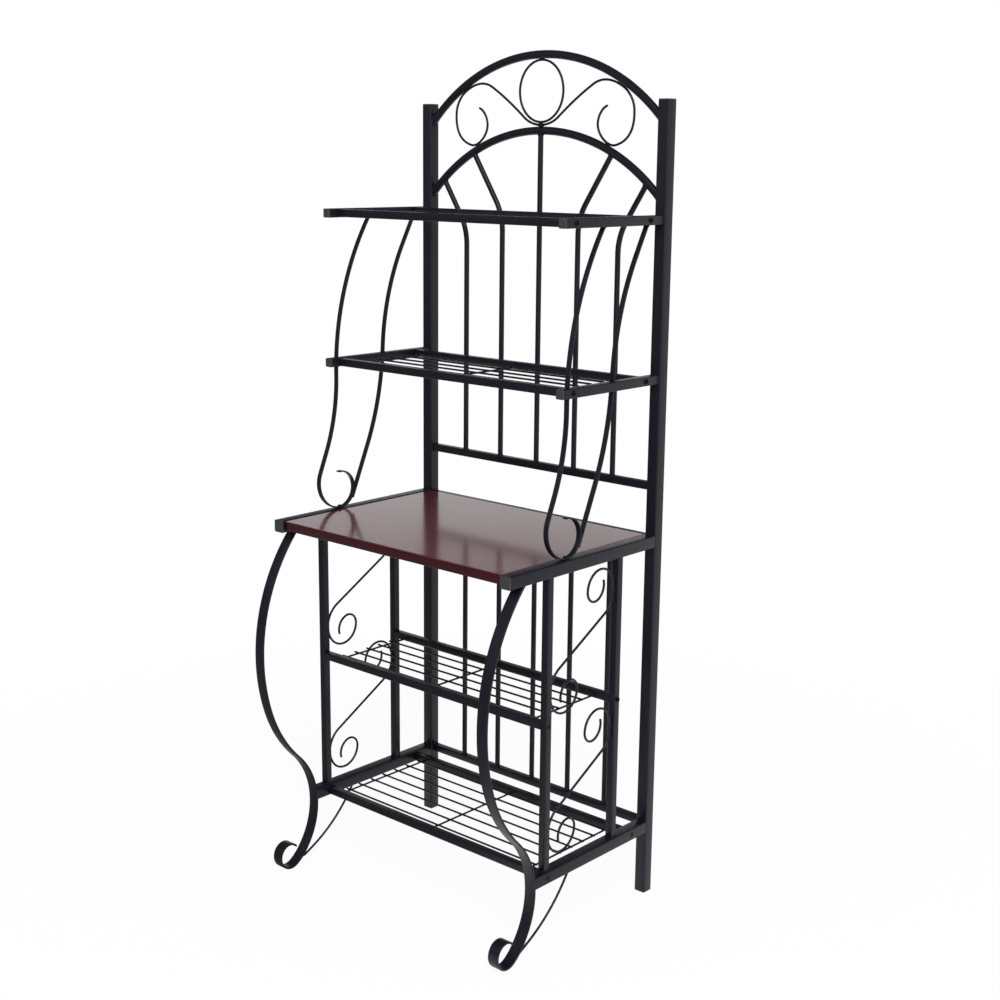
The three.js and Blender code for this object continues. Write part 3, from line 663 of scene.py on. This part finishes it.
# %% [markdown]
# ## Side bars
#
# On each side two flat bars run from the table up to the top shelf in the shape of a long S.
# The front one starts in an open loop that stands on the table's rail, and the rear one leans
# against that loop. Their lengths are shares of the height between the table and the top
# shelf. A flat bar is the same sweep as before with a wide, thin section.

# %% Side bars
SIDE_BAR_THICKNESS = 3 * MM
SIDE_BAR = rounded(11 * MM, SIDE_BAR_THICKNESS, 0.9 * MM)
LOOP_DISTANCE = 263 * MM
LOOP_TIP_SHARES = [(0.0641, 105.3), (0.0623, 81.3)]
FRONT_BAR_SHARES = [(0.0941, -112.4), (0.0738, 0), (0.6868, 23), (0.9389, -36)]
REAR_BAR_HEADING = 66.6
REAR_BAR_SHARES = [(0.0132, 0), (0.1787, 0), (0.978, 20.2), (0.0127, 0), (0.8412, -25.3),
                   (0.1486, 0)]

TABLE_TOP = corners("left_table_rail")[1][2]
top_rail_low = corners("top_shelf_left_rail")[0][2]
middle_low, middle_high = (corner[2] for corner in corners("middle_shelf_left_rail"))
bar_rise = top_rail_low - TABLE_TOP
loop_y = POST_FRONT - LOOP_DISTANCE
loop_z = TABLE_TOP + SIDE_BAR_THICKNESS / 2


def front_side_bar():
    tip = bent((loop_y, loop_z), 0, LOOP_TIP_SHARES, bar_rise)
    rise = bent((loop_y, loop_z), 180, FRONT_BAR_SHARES, bar_rise)
    return np.vstack([tip[::-1], rise[1:]])


def rear_side_bar():
    """Starts one tail's length before the point where it touches the back of the loop."""
    angle = math.radians(REAR_BAR_HEADING)
    radius = LOOP_TIP_SHARES[0][0] * bar_rise
    reach = radius + SIDE_BAR_THICKNESS
    tail = REAR_BAR_SHARES[0][0] * bar_rise
    y = loop_y + reach * math.sin(angle) - tail * math.cos(angle)
    z = loop_z + radius - reach * math.cos(angle) - tail * math.sin(angle)
    return bent((y, z), REAR_BAR_HEADING, REAR_BAR_SHARES, bar_rise)


side_bars = {"front": front_side_bar(), "rear": rear_side_bar()}
for side, sign in SIDES.items():
    for end, points in side_bars.items():
        for part, low_z, high_z in (("lower", 0, middle_low + MM),
                                    ("upper", middle_high - MM, top_rail_low + MM)):
            line = at_side(between(points, low_z, high_z), sign * POST_X)
            node = f"{side}_{end}_s_bar_{part}"
            piece(node + "_flat", [sweep(line, X_AXIS, SIDE_BAR, 0.5 * MM)], STEEL, [node])
print("side bars are", round(bar_rise / MM), "mm high")

# %% [markdown]
# ## The table
#
# Two square rails carry a wooden board between them. The board rests on four small tabs that
# are welded to the rails, and a screw through each tab holds it from below. Its edges are
# eased, which a rounded section with a generous edge radius gives.

# %% Rails, tabs and board
TAB_LENGTH = 30 * MM
TAB_REACH = 22 * MM
TAB_THICKNESS = 3 * MM
TAB_PLACES = (-380 * MM, -45 * MM)
FRAME_DEPTH = 25 * MM

board_low, board_high = corners("table_top")


def standing(low, high, corner, edge):
    """A plate between two corners: its outline is carried upwards, so its rim is rounded."""
    return bar_in(low, high, 2, (low[2], high[2]), corner, edge)


def tab(sign, y):
    xs = np.sort([sign * (INNER_X - TAB_REACH), sign * (INNER_X + MM)])
    low = np.array([xs[0], POST_FRONT + y - TAB_LENGTH / 2, board_low[2] - TAB_THICKNESS])
    high = np.array([xs[1], POST_FRONT + y + TAB_LENGTH / 2, board_low[2]])
    return standing(low, high, 1.5 * MM, 0.4 * MM)


for side, sign in SIDES.items():
    rail_low, rail_high = corners(f"{side}_table_rail")
    rail_low[2] = TABLE_TOP - FRAME_DEPTH
    rail_low[0], rail_high[0] = np.sort([sign * INNER_X, sign * (2 * POST_X - INNER_X)])
    surfaces = [tube_in(rail_low, rail_high, FRAME_CORNER)]
    surfaces += [tab(sign, y) for y in TAB_PLACES]
    piece(f"{side}_table_rail_tube", surfaces, STEEL, [f"{side}_table_rail"])
piece("table_board", [standing(board_low, board_high, 4 * MM, 1.4 * MM)], BOARD, ["table_top"])
print("board in mm:", ((board_high - board_low) / MM).round(1))

# %% [markdown]
# ## Legs and braces
#
# A leg is one long flat bar. From the floor it curls up and back in front, and the other way it
# rises over the instep to the heel, where the bottom rail meets it, bows far out in front and
# comes back under the table's rail. A thin wire brace ties it to the bottom rail.

# %% Legs
LEG_THICKNESS = 4 * MM
LEG = rounded(25 * MM, LEG_THICKNESS, 1.1 * MM)
LEG_CURL_SHARES = [(0.038, -120), (0.0317, -112)]
LEG_RISE_SHARES = [(0.038, 31.8), (0.1161, 16.3), (0.2198, 86.9), (0.3946, -26.7),
                   (0.5274, -65)]
leg_height = TABLE_TOP - FRAME_DEPTH
bottom_low, bottom_high = corners("left_bottom_rail")


def leg():
    """Middle line of a leg, moved back until its heel touches the bottom rail's end."""
    start = (0, LEG_THICKNESS / 2)
    curl = bent(start, 180, LEG_CURL_SHARES, leg_height)
    rise = bent(start, 0, LEG_RISE_SHARES, leg_height)
    heel = rise[rise[:, 1] < bottom_high[2], 0].max()
    place = bottom_low[1] - WELD_GAP - LEG_THICKNESS / 2 - heel
    return np.vstack([curl[::-1], rise[1:]]) + [place, 0]


leg_line = between(leg(), 0, leg_height + 2 * MM)
for side, sign in SIDES.items():
    line = at_side(leg_line, sign * POST_X)
    piece(f"{side}_leg_flat", [sweep(line, X_AXIS, LEG, 0.6 * MM)], STEEL, [f"{side}_leg"])
print("legs reach forward to mm:", round(leg_line[:, 0].min() / MM, 1))

# %% Braces
BRACE_START = -235 * MM
BRACE_HEADING = 238
BRACE_SHARES = [(2.2677, -31), (0.2, 0)]
brace_foot = POST_FRONT + BRACE_START, bottom_low[2]
brace_line = bent(brace_foot, BRACE_HEADING, BRACE_SHARES, bottom_low[2])
brace_line = between(brace_line, corners("left_leg_brace")[0][2] - MM, bottom_high[2])
for side, sign in SIDES.items():
    line = at_side(brace_line, sign * POST_X)
    piece(f"{side}_brace_wire", [rod(line, X_AXIS, WIRE)], STEEL, [f"{side}_leg_brace"])
print("braces reach from the floor up to mm:", (brace_line[[0, -1], 1] / MM).round(1))

# %% [markdown]
# ## Side scrolls
#
# Between the two inner posts of each side stand two wire scrolls, one above the lower shelf and
# one below it. A scroll's two halves are alike, turned half round about its middle, so only
# one half is drawn. It is then scaled until it just touches both posts.

# %% Side scrolls
SIDE_SCROLL_SHARES = [(0.824, 0), (0.552, 92.1), (0.414, 147.2), (0.234, 109.9), (0.312, 88.2)]
SIDE_SCROLL_HEADING = 210.1
SCROLL_HEIGHTS = {"upper": 595.5 * MM, "lower": 312.6 * MM}
front_post_back = corners("left_front_inner_post")[1][1]
rear_post_front = corners("left_rear_inner_post")[0][1]
scroll_middle = (front_post_back + rear_post_front) / 2
scroll_reach = (rear_post_front - front_post_back) / 2 - WIRE / 2

half = bent((0, 0), SIDE_SCROLL_HEADING, SIDE_SCROLL_SHARES, scroll_reach)
half *= scroll_reach / np.abs(half[:, 0]).max()
side_scroll = np.vstack([-half[:0:-1], half])
for side, sign in SIDES.items():
    for part, height in SCROLL_HEIGHTS.items():
        line = at_side(side_scroll + [scroll_middle, height], sign * POST_X)
        node = f"{side}_{part}_side_scroll"
        piece(node + "_wire", [rod(line, X_AXIS, WIRE)], STEEL, [node])
print("a side scroll in mm:", (np.ptp(side_scroll, axis=0) / MM).round(1))

# %% [markdown]
# ## Welds
#
# Every joint of the frame is welded, and the coat covers the beads. A bead is a row of small
# puddles, so it is the same sweep with a round section that swells and shrinks along its
# length. A tube that butts against another gets a bead all round it. Thin wires are only
# tacked, and a tack is a short bead that tapers to both ends.

# %% Beads and tacks
BEAD = 2.4 * MM
PUDDLE = 2.6 * MM
BEAD_SPACING = 0.8 * MM
BEAD_SECTION, TACK_SECTION = 8, 10
SEAM = 3.4 * MM


def spaced(points, closed=False):
    """The same line with its points BEAD_SPACING apart."""
    points = np.asarray(points, float)
    if closed:
        points = np.vstack([points, points[:1]])
    reach = np.concatenate([[0], np.cumsum(np.linalg.norm(np.diff(points, axis=0), axis=1))])
    count = max(8, round(reach[-1] / BEAD_SPACING))
    along = np.linspace(0, reach[-1], count, endpoint=not closed)
    return np.stack([np.interp(along, reach, points[:, k]) for k in range(3)], axis=1), reach[-1]


def bead_ring(points, normal, diameter=BEAD):
    """A closed bead whose thickness is 1 + 0.1 sin(2 pi n t), a whole number n of puddles."""
    line, length = spaced(points, closed=True)
    count = max(3, round(length / PUDDLE))

    def puddles(share):
        uneven = 0.07 * np.sin(2 * math.pi * (share * 3 + 0.2))
        return 1 + 0.1 * np.sin(2 * math.pi * count * share) + uneven

    return sweep(line, normal, circle(diameter, BEAD_SECTION), closed=True, swell=puddles)


def tack(points, normal, diameter=6 * MM):
    """A short bead whose thickness follows half a circle, sqrt(1 - (2t - 1)^2), with ripples."""
    line, length = spaced(points)

    def taper(share):
        ripples = 1 + 0.06 * np.sin(2 * math.pi * share * length / PUDDLE)
        return np.sqrt(np.clip(1 - (2 * share - 1) ** 2, 0.02, 1)) * ripples

    return sweep(line, normal, circle(diameter, TACK_SECTION), 0.1 * MM, swell=taper)


def around(low, high, axis, at, corner=1.5 * MM):
    """The outline of a tube's box, in the plane where it meets its neighbour."""
    first, second = (axis + 1) % 3, (axis + 2) % 3
    size = high - low
    outline = rounded(size[first], size[second], corner)
    points = np.zeros((len(outline), 3))
    points[:, axis] = at
    points[:, first] = (low[first] + high[first]) / 2 + outline[:, 0]
    points[:, second] = (low[second] + high[second]) / 2 + outline[:, 1]
    return points


def butt_welds(node, axis, ends=(0, 1)):
    """A bead round one or both ends of a tube."""
    box = corners(node)
    return [bead_ring(around(*box, axis, box[end][axis]), np.eye(3)[axis]) for end in ends]


def unit(vector):
    return vector / np.linalg.norm(vector)


# %% Beads of the square tubes
beads = []
for side in SIDES:
    for end in ("front", "rear"):
        beads += butt_welds(f"{side}_{end}_inner_post", 2)
    for shelf in ("top", "middle"):
        beads += butt_welds(f"{shelf}_shelf_{side}_rail", 1, ends=(1,))
for side, sign in SIDES.items():
    edges = sign * (INNER_X + 3 * MM), sign * (2 * POST_X - INNER_X - 3 * MM)
    for top in (TABLE_TOP, bottom_high[2]):
        for z in (top, top - FRAME_DEPTH):
            line = straight((edges[0], POST_FRONT, z), (edges[1], POST_FRONT, z))
            beads.append(tack(line, Y_AXIS, SEAM))
piece("tube_welds", beads, STEEL)
print("beads of the square tubes:", len(beads))

# %% Beads of the arches and bars
ARCH_BEAD = 4 * MM
beads = []
for apex in (OUTER_APEX, INNER_APEX):
    for sign in SIDES.values():
        centre = np.array([sign * INNER_X, PANEL_Y, arch_height(apex, INNER_X)])
        second = ARCH_TUBE / 2 / arch_cosine(INNER_X) * Z_AXIS
        ring = ellipse(centre, ARCH_TUBE / 2 * Y_AXIS, second)
        beads.append(bead_ring(ring, X_AXIS, ARCH_BEAD))


def bar_ring(centre, direction):
    across = np.cross(direction, Y_AXIS)
    ring = ellipse(np.asarray(centre), BAR / 2 * Y_AXIS, BAR / 2 * across, 32)
    return bead_ring(ring, direction)


for points in upper_bars:
    off_centre = np.linalg.norm(points - [0, INNER_APEX - ARCH_RADIUS], axis=1)
    place = np.argmin(np.abs(off_centre - (ARCH_RADIUS - ARCH_TUBE / 2)))
    line = in_front(points, PANEL_Y)
    beads.append(bar_ring(line[place], unit(line[place] - line[place - 1])))
    beads.append(bar_ring(line[0] + MM * Z_AXIS, Z_AXIS))
for place in places:
    for z in (lower_span[0] + MM, lower_span[1] - MM):
        beads.append(bar_ring([place * BAR_PITCH, PANEL_Y, z], Z_AXIS))
for z in (corners("upper_back_panel")[0][2], lower_low[2], lower_high[2] - LIGHT_TUBE):
    low = np.array([0, PANEL_Y - LIGHT_TUBE / 2, z])
    for x in (-INNER_X, INNER_X):
        beads.append(bead_ring(around(low, low + LIGHT_TUBE, 0, x), X_AXIS))
piece("back_welds", beads, STEEL)
print("beads on the back:", len(beads))

# %% Tacks of the thin wires
TACK_REACH = 5 * MM
TACK_SIDE = 1.6 * MM


def tack_at(line, index, towards, normal, diameter=5.4 * MM):
    """A tack along the wire at one of its points, moved a little towards what it touches."""
    along = unit(line[min(index + 1, len(line) - 1)] - line[max(index - 1, 0)])
    centre = line[index] + TACK_SIDE * unit(np.asarray(towards, float))
    return tack([centre - TACK_REACH * along, centre + TACK_REACH * along], normal, diameter)


tacks = []
centre_of = {apex: np.array([0, PANEL_Y, apex - ARCH_RADIUS]) for apex in (OUTER_APEX, INNER_APEX)}
for sign in SIDES.values():
    line = in_front(scroll * [sign, 1], PANEL_Y)
    outer, inner = (np.linalg.norm(line - centre, axis=1) for centre in centre_of.values())
    far = np.abs(line[:, 0]) > ring_half[0]
    high, low = int(np.argmax(outer * far)), int(np.argmin(inner + ~far))
    tacks.append(tack_at(line, high, line[high] - centre_of[OUTER_APEX], Y_AXIS))
    tacks.append(tack_at(line, low, centre_of[INNER_APEX] - line[low], Y_AXIS))
middle = np.array([0, PANEL_Y, (ring_low[2] + INNER_APEX + ARCH_TUBE / 2) / 2])
tacks.append(tack([middle - 8 * MM * X_AXIS, middle + 8 * MM * X_AXIS], Y_AXIS, 7 * MM))
ring_top = np.array([0, PANEL_Y, ring_high[2]])
tacks.append(tack([ring_top - TACK_REACH * X_AXIS, ring_top + TACK_REACH * X_AXIS], Y_AXIS))
for sign in SIDES.values():
    for height in SCROLL_HEIGHTS.values():
        line = at_side(side_scroll + [scroll_middle, height], sign * POST_X)
        for index, towards in ((np.argmax(line[:, 1]), Y_AXIS), (np.argmin(line[:, 1]), -Y_AXIS)):
            tacks.append(tack_at(line, int(index), towards, X_AXIS))
    line = at_side(brace_line, sign * POST_X)
    tacks.append(tack_at(line, len(line) - 1, Z_AXIS, X_AXIS))
    tacks.append(tack_at(line, 0, -Y_AXIS, X_AXIS))
piece("wire_tacks", tacks, STEEL)
print("tacks on the scrolls, ring and braces:", len(tacks))

# %% Tacks of the shelf wires
COLLAR_HALF, COLLAR = 2.4 * MM * X_AXIS, 3.6 * MM
WIRE_END, WIRE_END_TACK = 4 * MM, 5.6 * MM

tacks = []
for name in grids:
    across, _, crossings = shelf_wires(name)
    tacks += [tack([place - COLLAR_HALF, place + COLLAR_HALF], Z_AXIS, COLLAR)
              for place in np.array(crossings)]
    for start, end in across:
        for place, inward in ((start, Y_AXIS), (end, -Y_AXIS)):
            tacks.append(tack([place, place + WIRE_END * inward], Z_AXIS, WIRE_END_TACK))
piece("shelf_tacks", tacks, STEEL)
print("tacks on the shelves:", len(tacks))

# %% Beads of the flat bars
FLAT_BEAD = 1.8 * MM
FLAT_BEAD_SHARE = 1.06
LEG_BEAD_SHARE = 0.88
LEG_SEAM = 10.8 * MM


def flat_bar_bead(points, x, height, section):
    """A bead round a flat bar where its middle line comes nearest to a height."""
    line = at_side(points, x)
    index = int(np.argmin(np.abs(line[:, 2] - height)))
    along = unit(line[min(index + 1, len(line) - 1)] - line[max(index - 1, 0)])
    outline = FLAT_BEAD_SHARE * section
    ring = line[index] + outline[:, :1] * X_AXIS + outline[:, 1:] * np.cross(along, X_AXIS)
    return bead_ring(ring, along, FLAT_BEAD)


beads = []
for sign in SIDES.values():
    x = sign * POST_X
    beads.append(flat_bar_bead(leg_line, x, leg_height, LEG_BEAD_SHARE * LEG))
    for edge in (x - LEG_SEAM, x + LEG_SEAM):
        y = bottom_low[1] - MM
        line = straight((edge, y, bottom_low[2] + 2 * MM), (edge, y, bottom_high[2] - 2 * MM))
        beads.append(tack(line, Y_AXIS, SEAM))
    for points in side_bars.values():
        upright = points[np.argmin(points[:, 1]):] if points is side_bars["front"] else points
        for height in (middle_low, middle_high, top_rail_low):
            beads.append(flat_bar_bead(upright, x, height, SIDE_BAR))
    touch = at_side(side_bars["rear"], x)
    towards = np.array([0, -math.sin(math.radians(REAR_BAR_HEADING)),
                        math.cos(math.radians(REAR_BAR_HEADING))])
    beads.append(tack_at(touch, round(REAR_BAR_SHARES[0][0] * bar_rise / SPACING), towards, X_AXIS))
piece("bar_welds", beads, STEEL)
print("beads of the flat bars:", len(beads))

# %% [markdown]
# ## Bolts and screws
#
# The shelves are bolted on: a button-head bolt goes through each side tube into the end of a
# shelf's rail, and one more holds the foot of each side bar's loop. A head is a dome with a
# six-sided socket. It is worked out on a polar grid, whose rings go from the floor of the
# socket up its walls, over the dome and down to the rim.

# %% Bolt heads
SOCKET_SHARE = 0.42
SOCKET_FLOOR = 0.15
RIM_SHARE = 0.08
HEAD_COLUMNS = 48


def bolt_head(place, outward, diameter, rise):
    """Rings of points place + r(t) (cos t, sin t) + h outward.

    Within the socket r(t) is a hexagon, a cos 30 / cos(t mod 60 - 30). Over the dome r is
    round, and h falls from the socket's rim to 0 as sqrt(1 - s^2)."""
    outward = np.asarray(outward, float)
    first = unit(np.cross(outward, X_AXIS + Y_AXIS + Z_AXIS))
    second = np.cross(outward, first)
    angle = np.linspace(0, 2 * math.pi, HEAD_COLUMNS, endpoint=False)
    hexagon = SOCKET_SHARE * math.cos(math.pi / 6) / np.cos(angle % (math.pi / 3) - math.pi / 6)
    share = np.linspace(0.56, 1, 7)
    dome = np.sqrt(np.clip(1 - ((share - 0.5) / 0.5) ** 2, 0, 1))
    radii = [hexagon * 0.05, hexagon * 0.97, hexagon, 1.08 * hexagon]
    heights = [SOCKET_FLOOR, SOCKET_FLOOR, 0.9, 1.0]
    radii += [np.full(HEAD_COLUMNS, value) for value in share] + [np.ones(HEAD_COLUMNS)]
    heights += list(dome * (1 - RIM_SHARE) + RIM_SHARE) + [-0.1]
    radius = diameter / 2 * np.array(radii)
    height = rise * np.array(heights)[:, None, None] * outward
    points = place + radius[..., None] * (np.cos(angle)[:, None] * first
                                          + np.sin(angle)[:, None] * second) + height
    rows = len(radii)
    faces = [face[::-1] for face in grid_faces(rows, HEAD_COLUMNS, False)]
    faces.append(list(range(HEAD_COLUMNS)))
    faces.append(list(range(HEAD_COLUMNS * (rows - 1), HEAD_COLUMNS * rows))[::-1])
    return points.reshape(-1, 3), faces


# %% Bolts of the shelves, loops and board
# For each shelf: the tube that it is bolted to, the diameter of a bolt's head in mm, and how
# far the heads rise at the front rail and at the back rail.
SHELF_BOLTS = {"top": ("top_shelf_right_rail", 10.5, 3, 3),
               "middle": ("middle_shelf_right_rail", 10.5, 3, 3),
               "lower": ("right_front_inner_post", 9.5, 1, 4.5),
               "bottom": ("right_bottom_rail", 12.5, 0.3, 0.3)}
LOOP_BOLT = 9 * MM, 3 * MM
TAB_SCREW = 7 * MM, 2 * MM

bolts = []
for name, (tube, head, *rises) in SHELF_BOLTS.items():
    for end, rise in zip(("front", "back"), rises):
        place = sum(corners(f"{name}_shelf_{end}_rail")) / 2
        for sign in SIDES.values():
            place[0] = sign * corners(tube)[1][0]
            bolts.append(bolt_head(place, sign * X_AXIS, head * MM, rise * MM))
for sign in SIDES.values():
    place = np.array([sign * POST_X, loop_y, TABLE_TOP + SIDE_BAR_THICKNESS])
    bolts.append(bolt_head(place, Z_AXIS, *LOOP_BOLT))
    for y in TAB_PLACES:
        place = np.array([sign * (INNER_X - TAB_REACH / 2), POST_FRONT + y,
                          board_low[2] - TAB_THICKNESS])
        bolts.append(bolt_head(place, -Z_AXIS, *TAB_SCREW))
piece("bolts", bolts, BOLT)
print("bolt heads:", len(bolts))

# %% [markdown]
# ## Floor and light
#
# The rack stands on a pale seamless floor. Close to the rack the floor is a matt white that
# takes a soft shadow, and further off it turns into the plain white of the background. The
# lacquer and the coated steel are meant to mirror that background, so rays that come from a
# glossy surface see it too. A dark, shiny object is drawn by what it reflects: the surroundings
# are bright but for a dim part in front on the left, as in a studio whose far end is unlit. It
# is what the faces that look forward mirror. The floor and the world share one split.

# %% Floor
FLOOR_HALF = 30
FLOOR_NEAR, FLOOR_FAR = 0.7, 2.2
WHITE_NEAR = 0.93
WHITE_MATT = 0.95
FRONT_DIMMING = 0.67
DIM_WAY = (-0.7, -0.714, 0)
DIM_START, DIM_FULL = 0.45, 0.9


def brightness_split(shader, direction):
    """0 where a level direction points along DIM_WAY, and 1 well to the sides of it."""
    level = shader.add("VectorMath", {"operation": "MULTIPLY"}, {0: direction, 1: (1, 1, 0)})
    unit_level = shader.add("VectorMath", {"operation": "NORMALIZE"}, {0: level})
    part = shader.add("VectorMath", {"operation": "DOT_PRODUCT"}, {0: unit_level, 1: DIM_WAY},
                      "Value")
    return smooth_ramp(shader, part, DIM_START, DIM_FULL, 1.0, 0.0)


def floor_finish():
    material, shader = new_material("studio_floor")
    tree = shader.tree
    names = ("Is Camera Ray", "Is Glossy Ray", "Is Transmission Ray")
    camera_ray, glossy_ray, clear_ray = [shader.add("LightPath", output=name) for name in names]
    place = shader.add("TexCoord", output="Object")
    distance = shader.add("VectorMath", {"operation": "LENGTH"}, {0: place}, "Value")
    far = smooth_ramp(shader, distance, FLOOR_NEAR, FLOOR_FAR, WHITE_NEAR, 1.0)
    bright = brightness_split(shader, place)
    dimmed = WHITE_MATT * (1 - glossy_ray * FRONT_DIMMING * (1 - bright))
    matt = shader.add("BsdfDiffuse", None, {"Color": dimmed})
    white = shader.add("Emission", None, {"Color": (1, 1, 1, 1), "Strength": 1.0})
    share = camera_ray.math("MAXIMUM", clear_ray) * far + glossy_ray * bright
    both = shader.add("MixShader", None, {0: share, 1: matt, 2: white})
    tree.nodes.remove(tree.nodes["Principled BSDF"])
    tree.links.new(both.socket, tree.nodes["Material Output"].inputs["Surface"])
    return material


floor_mesh = bpy.data.meshes.new("floor")
floor_corners = FLOOR_HALF * np.array([[-1, -1, 0], [1, -1, 0], [1, 1, 0], [-1, 1, 0]])
floor_mesh.from_pydata(floor_corners.tolist(), [], [[0, 1, 2, 3]])
floor_mesh.materials.append(floor_finish())
floor = bpy.data.objects.new("floor", floor_mesh)
bpy.context.scene.collection.objects.link(floor)
floor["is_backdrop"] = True
print("the floor is plain white beyond", FLOOR_FAR, "m")

# %% World
AMBIENT = 0.55
DIM = 0.14
BACKDROP_TOP = (0.222, 0.295)


def studio_world():
    world = bpy.data.worlds.new("studio")
    shader = Shader(world)
    names = ("Is Camera Ray", "Is Glossy Ray")
    camera_ray, glossy_ray = [shader.add("LightPath", output=name) for name in names]
    direction = shader.add("TexCoord", output="Generated")
    height = shader.add("SeparateXYZ", None, {0: direction}, "Z")
    below_top = smooth_ramp(shader, height, *BACKDROP_TOP, 1.0, 0.0)
    backdrop = DIM + (1 - DIM) * (brightness_split(shader, direction) * below_top)
    light = camera_ray + (1 - camera_ray) * (
        glossy_ray * backdrop + (1 - glossy_ray) * AMBIENT)
    background = shader.tree.nodes["Background"]
    background.inputs["Color"].default_value = (1, 1, 1, 1)
    shader.feed(background.inputs["Strength"], light)
    bpy.context.scene.world = world


studio_world()
print("world:", bpy.context.scene.world.name)

# %% Lamps
import mathutils


def soft_box(name, place, target, size, power):
    """A square area lamp that looks at a target."""
    lamp = bpy.data.lights.new(name, "AREA")
    lamp.size = size
    lamp.energy = power
    holder = bpy.data.objects.new(name, lamp)
    bpy.context.scene.collection.objects.link(holder)
    holder.location = place
    aim = mathutils.Vector(target) - mathutils.Vector(place)
    holder.rotation_euler = aim.to_track_quat("-Z", "Y").to_euler()
    print(name, "lamp:", power, "W,", size, "m wide,", round(aim.length, 2), "m away")


soft_box("key", (3.2, -2.6, 4.6), (0, 0, 0.9), 2.6, 240)
soft_box("fill", (-3.0, -4.3, 3.2), (0, 0, 0.8), 3.6, 20)

# %% [markdown]
# ## Camera
#
# The camera stands to the right of the rack, at a height between its middle and its top shelf,
# and looks a little down. Its place and its turns were worked out from edges that are known to
# be square to each other.

# %% Camera
CAMERA_PLACE = (2.0541, -2.1589, 1.4890)
CAMERA_TURNS = np.radians([41.879, 12.536, 0.533])
LENS = 55.12


def camera_matrix(place, azimuth, pitch, roll):
    """Columns: the camera's right, its up, the way back from what it looks at, its place."""
    ahead = np.array([-math.sin(azimuth) * math.cos(pitch), math.cos(azimuth) * math.cos(pitch),
                      -math.sin(pitch)])
    level = np.array([math.cos(azimuth), math.sin(azimuth), 0])
    upright = np.cross(level, ahead)
    right = level * math.cos(roll) + upright * math.sin(roll)
    up = upright * math.cos(roll) - level * math.sin(roll)
    matrix = np.eye(4)
    matrix[:3] = np.stack([right, up, -ahead, place], axis=1)
    return mathutils.Matrix(matrix.tolist())


camera = bpy.data.objects.new("camera", bpy.data.cameras.new("camera"))
camera.data.lens = LENS
camera.matrix_world = camera_matrix(CAMERA_PLACE, *CAMERA_TURNS)
bpy.context.scene.collection.objects.link(camera)
bpy.context.scene.camera = camera
bpy.context.scene.view_settings.view_transform = "Standard"
print("camera:", LENS, "mm lens,", round(math.dist(CAMERA_PLACE, (0, 0, 0)), 2), "m from the origin")

# %% Size and end
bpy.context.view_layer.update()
shown = list(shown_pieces())
print("pieces:", len(shown), "faces:", sum(len(made.data.polygons) for made in shown))
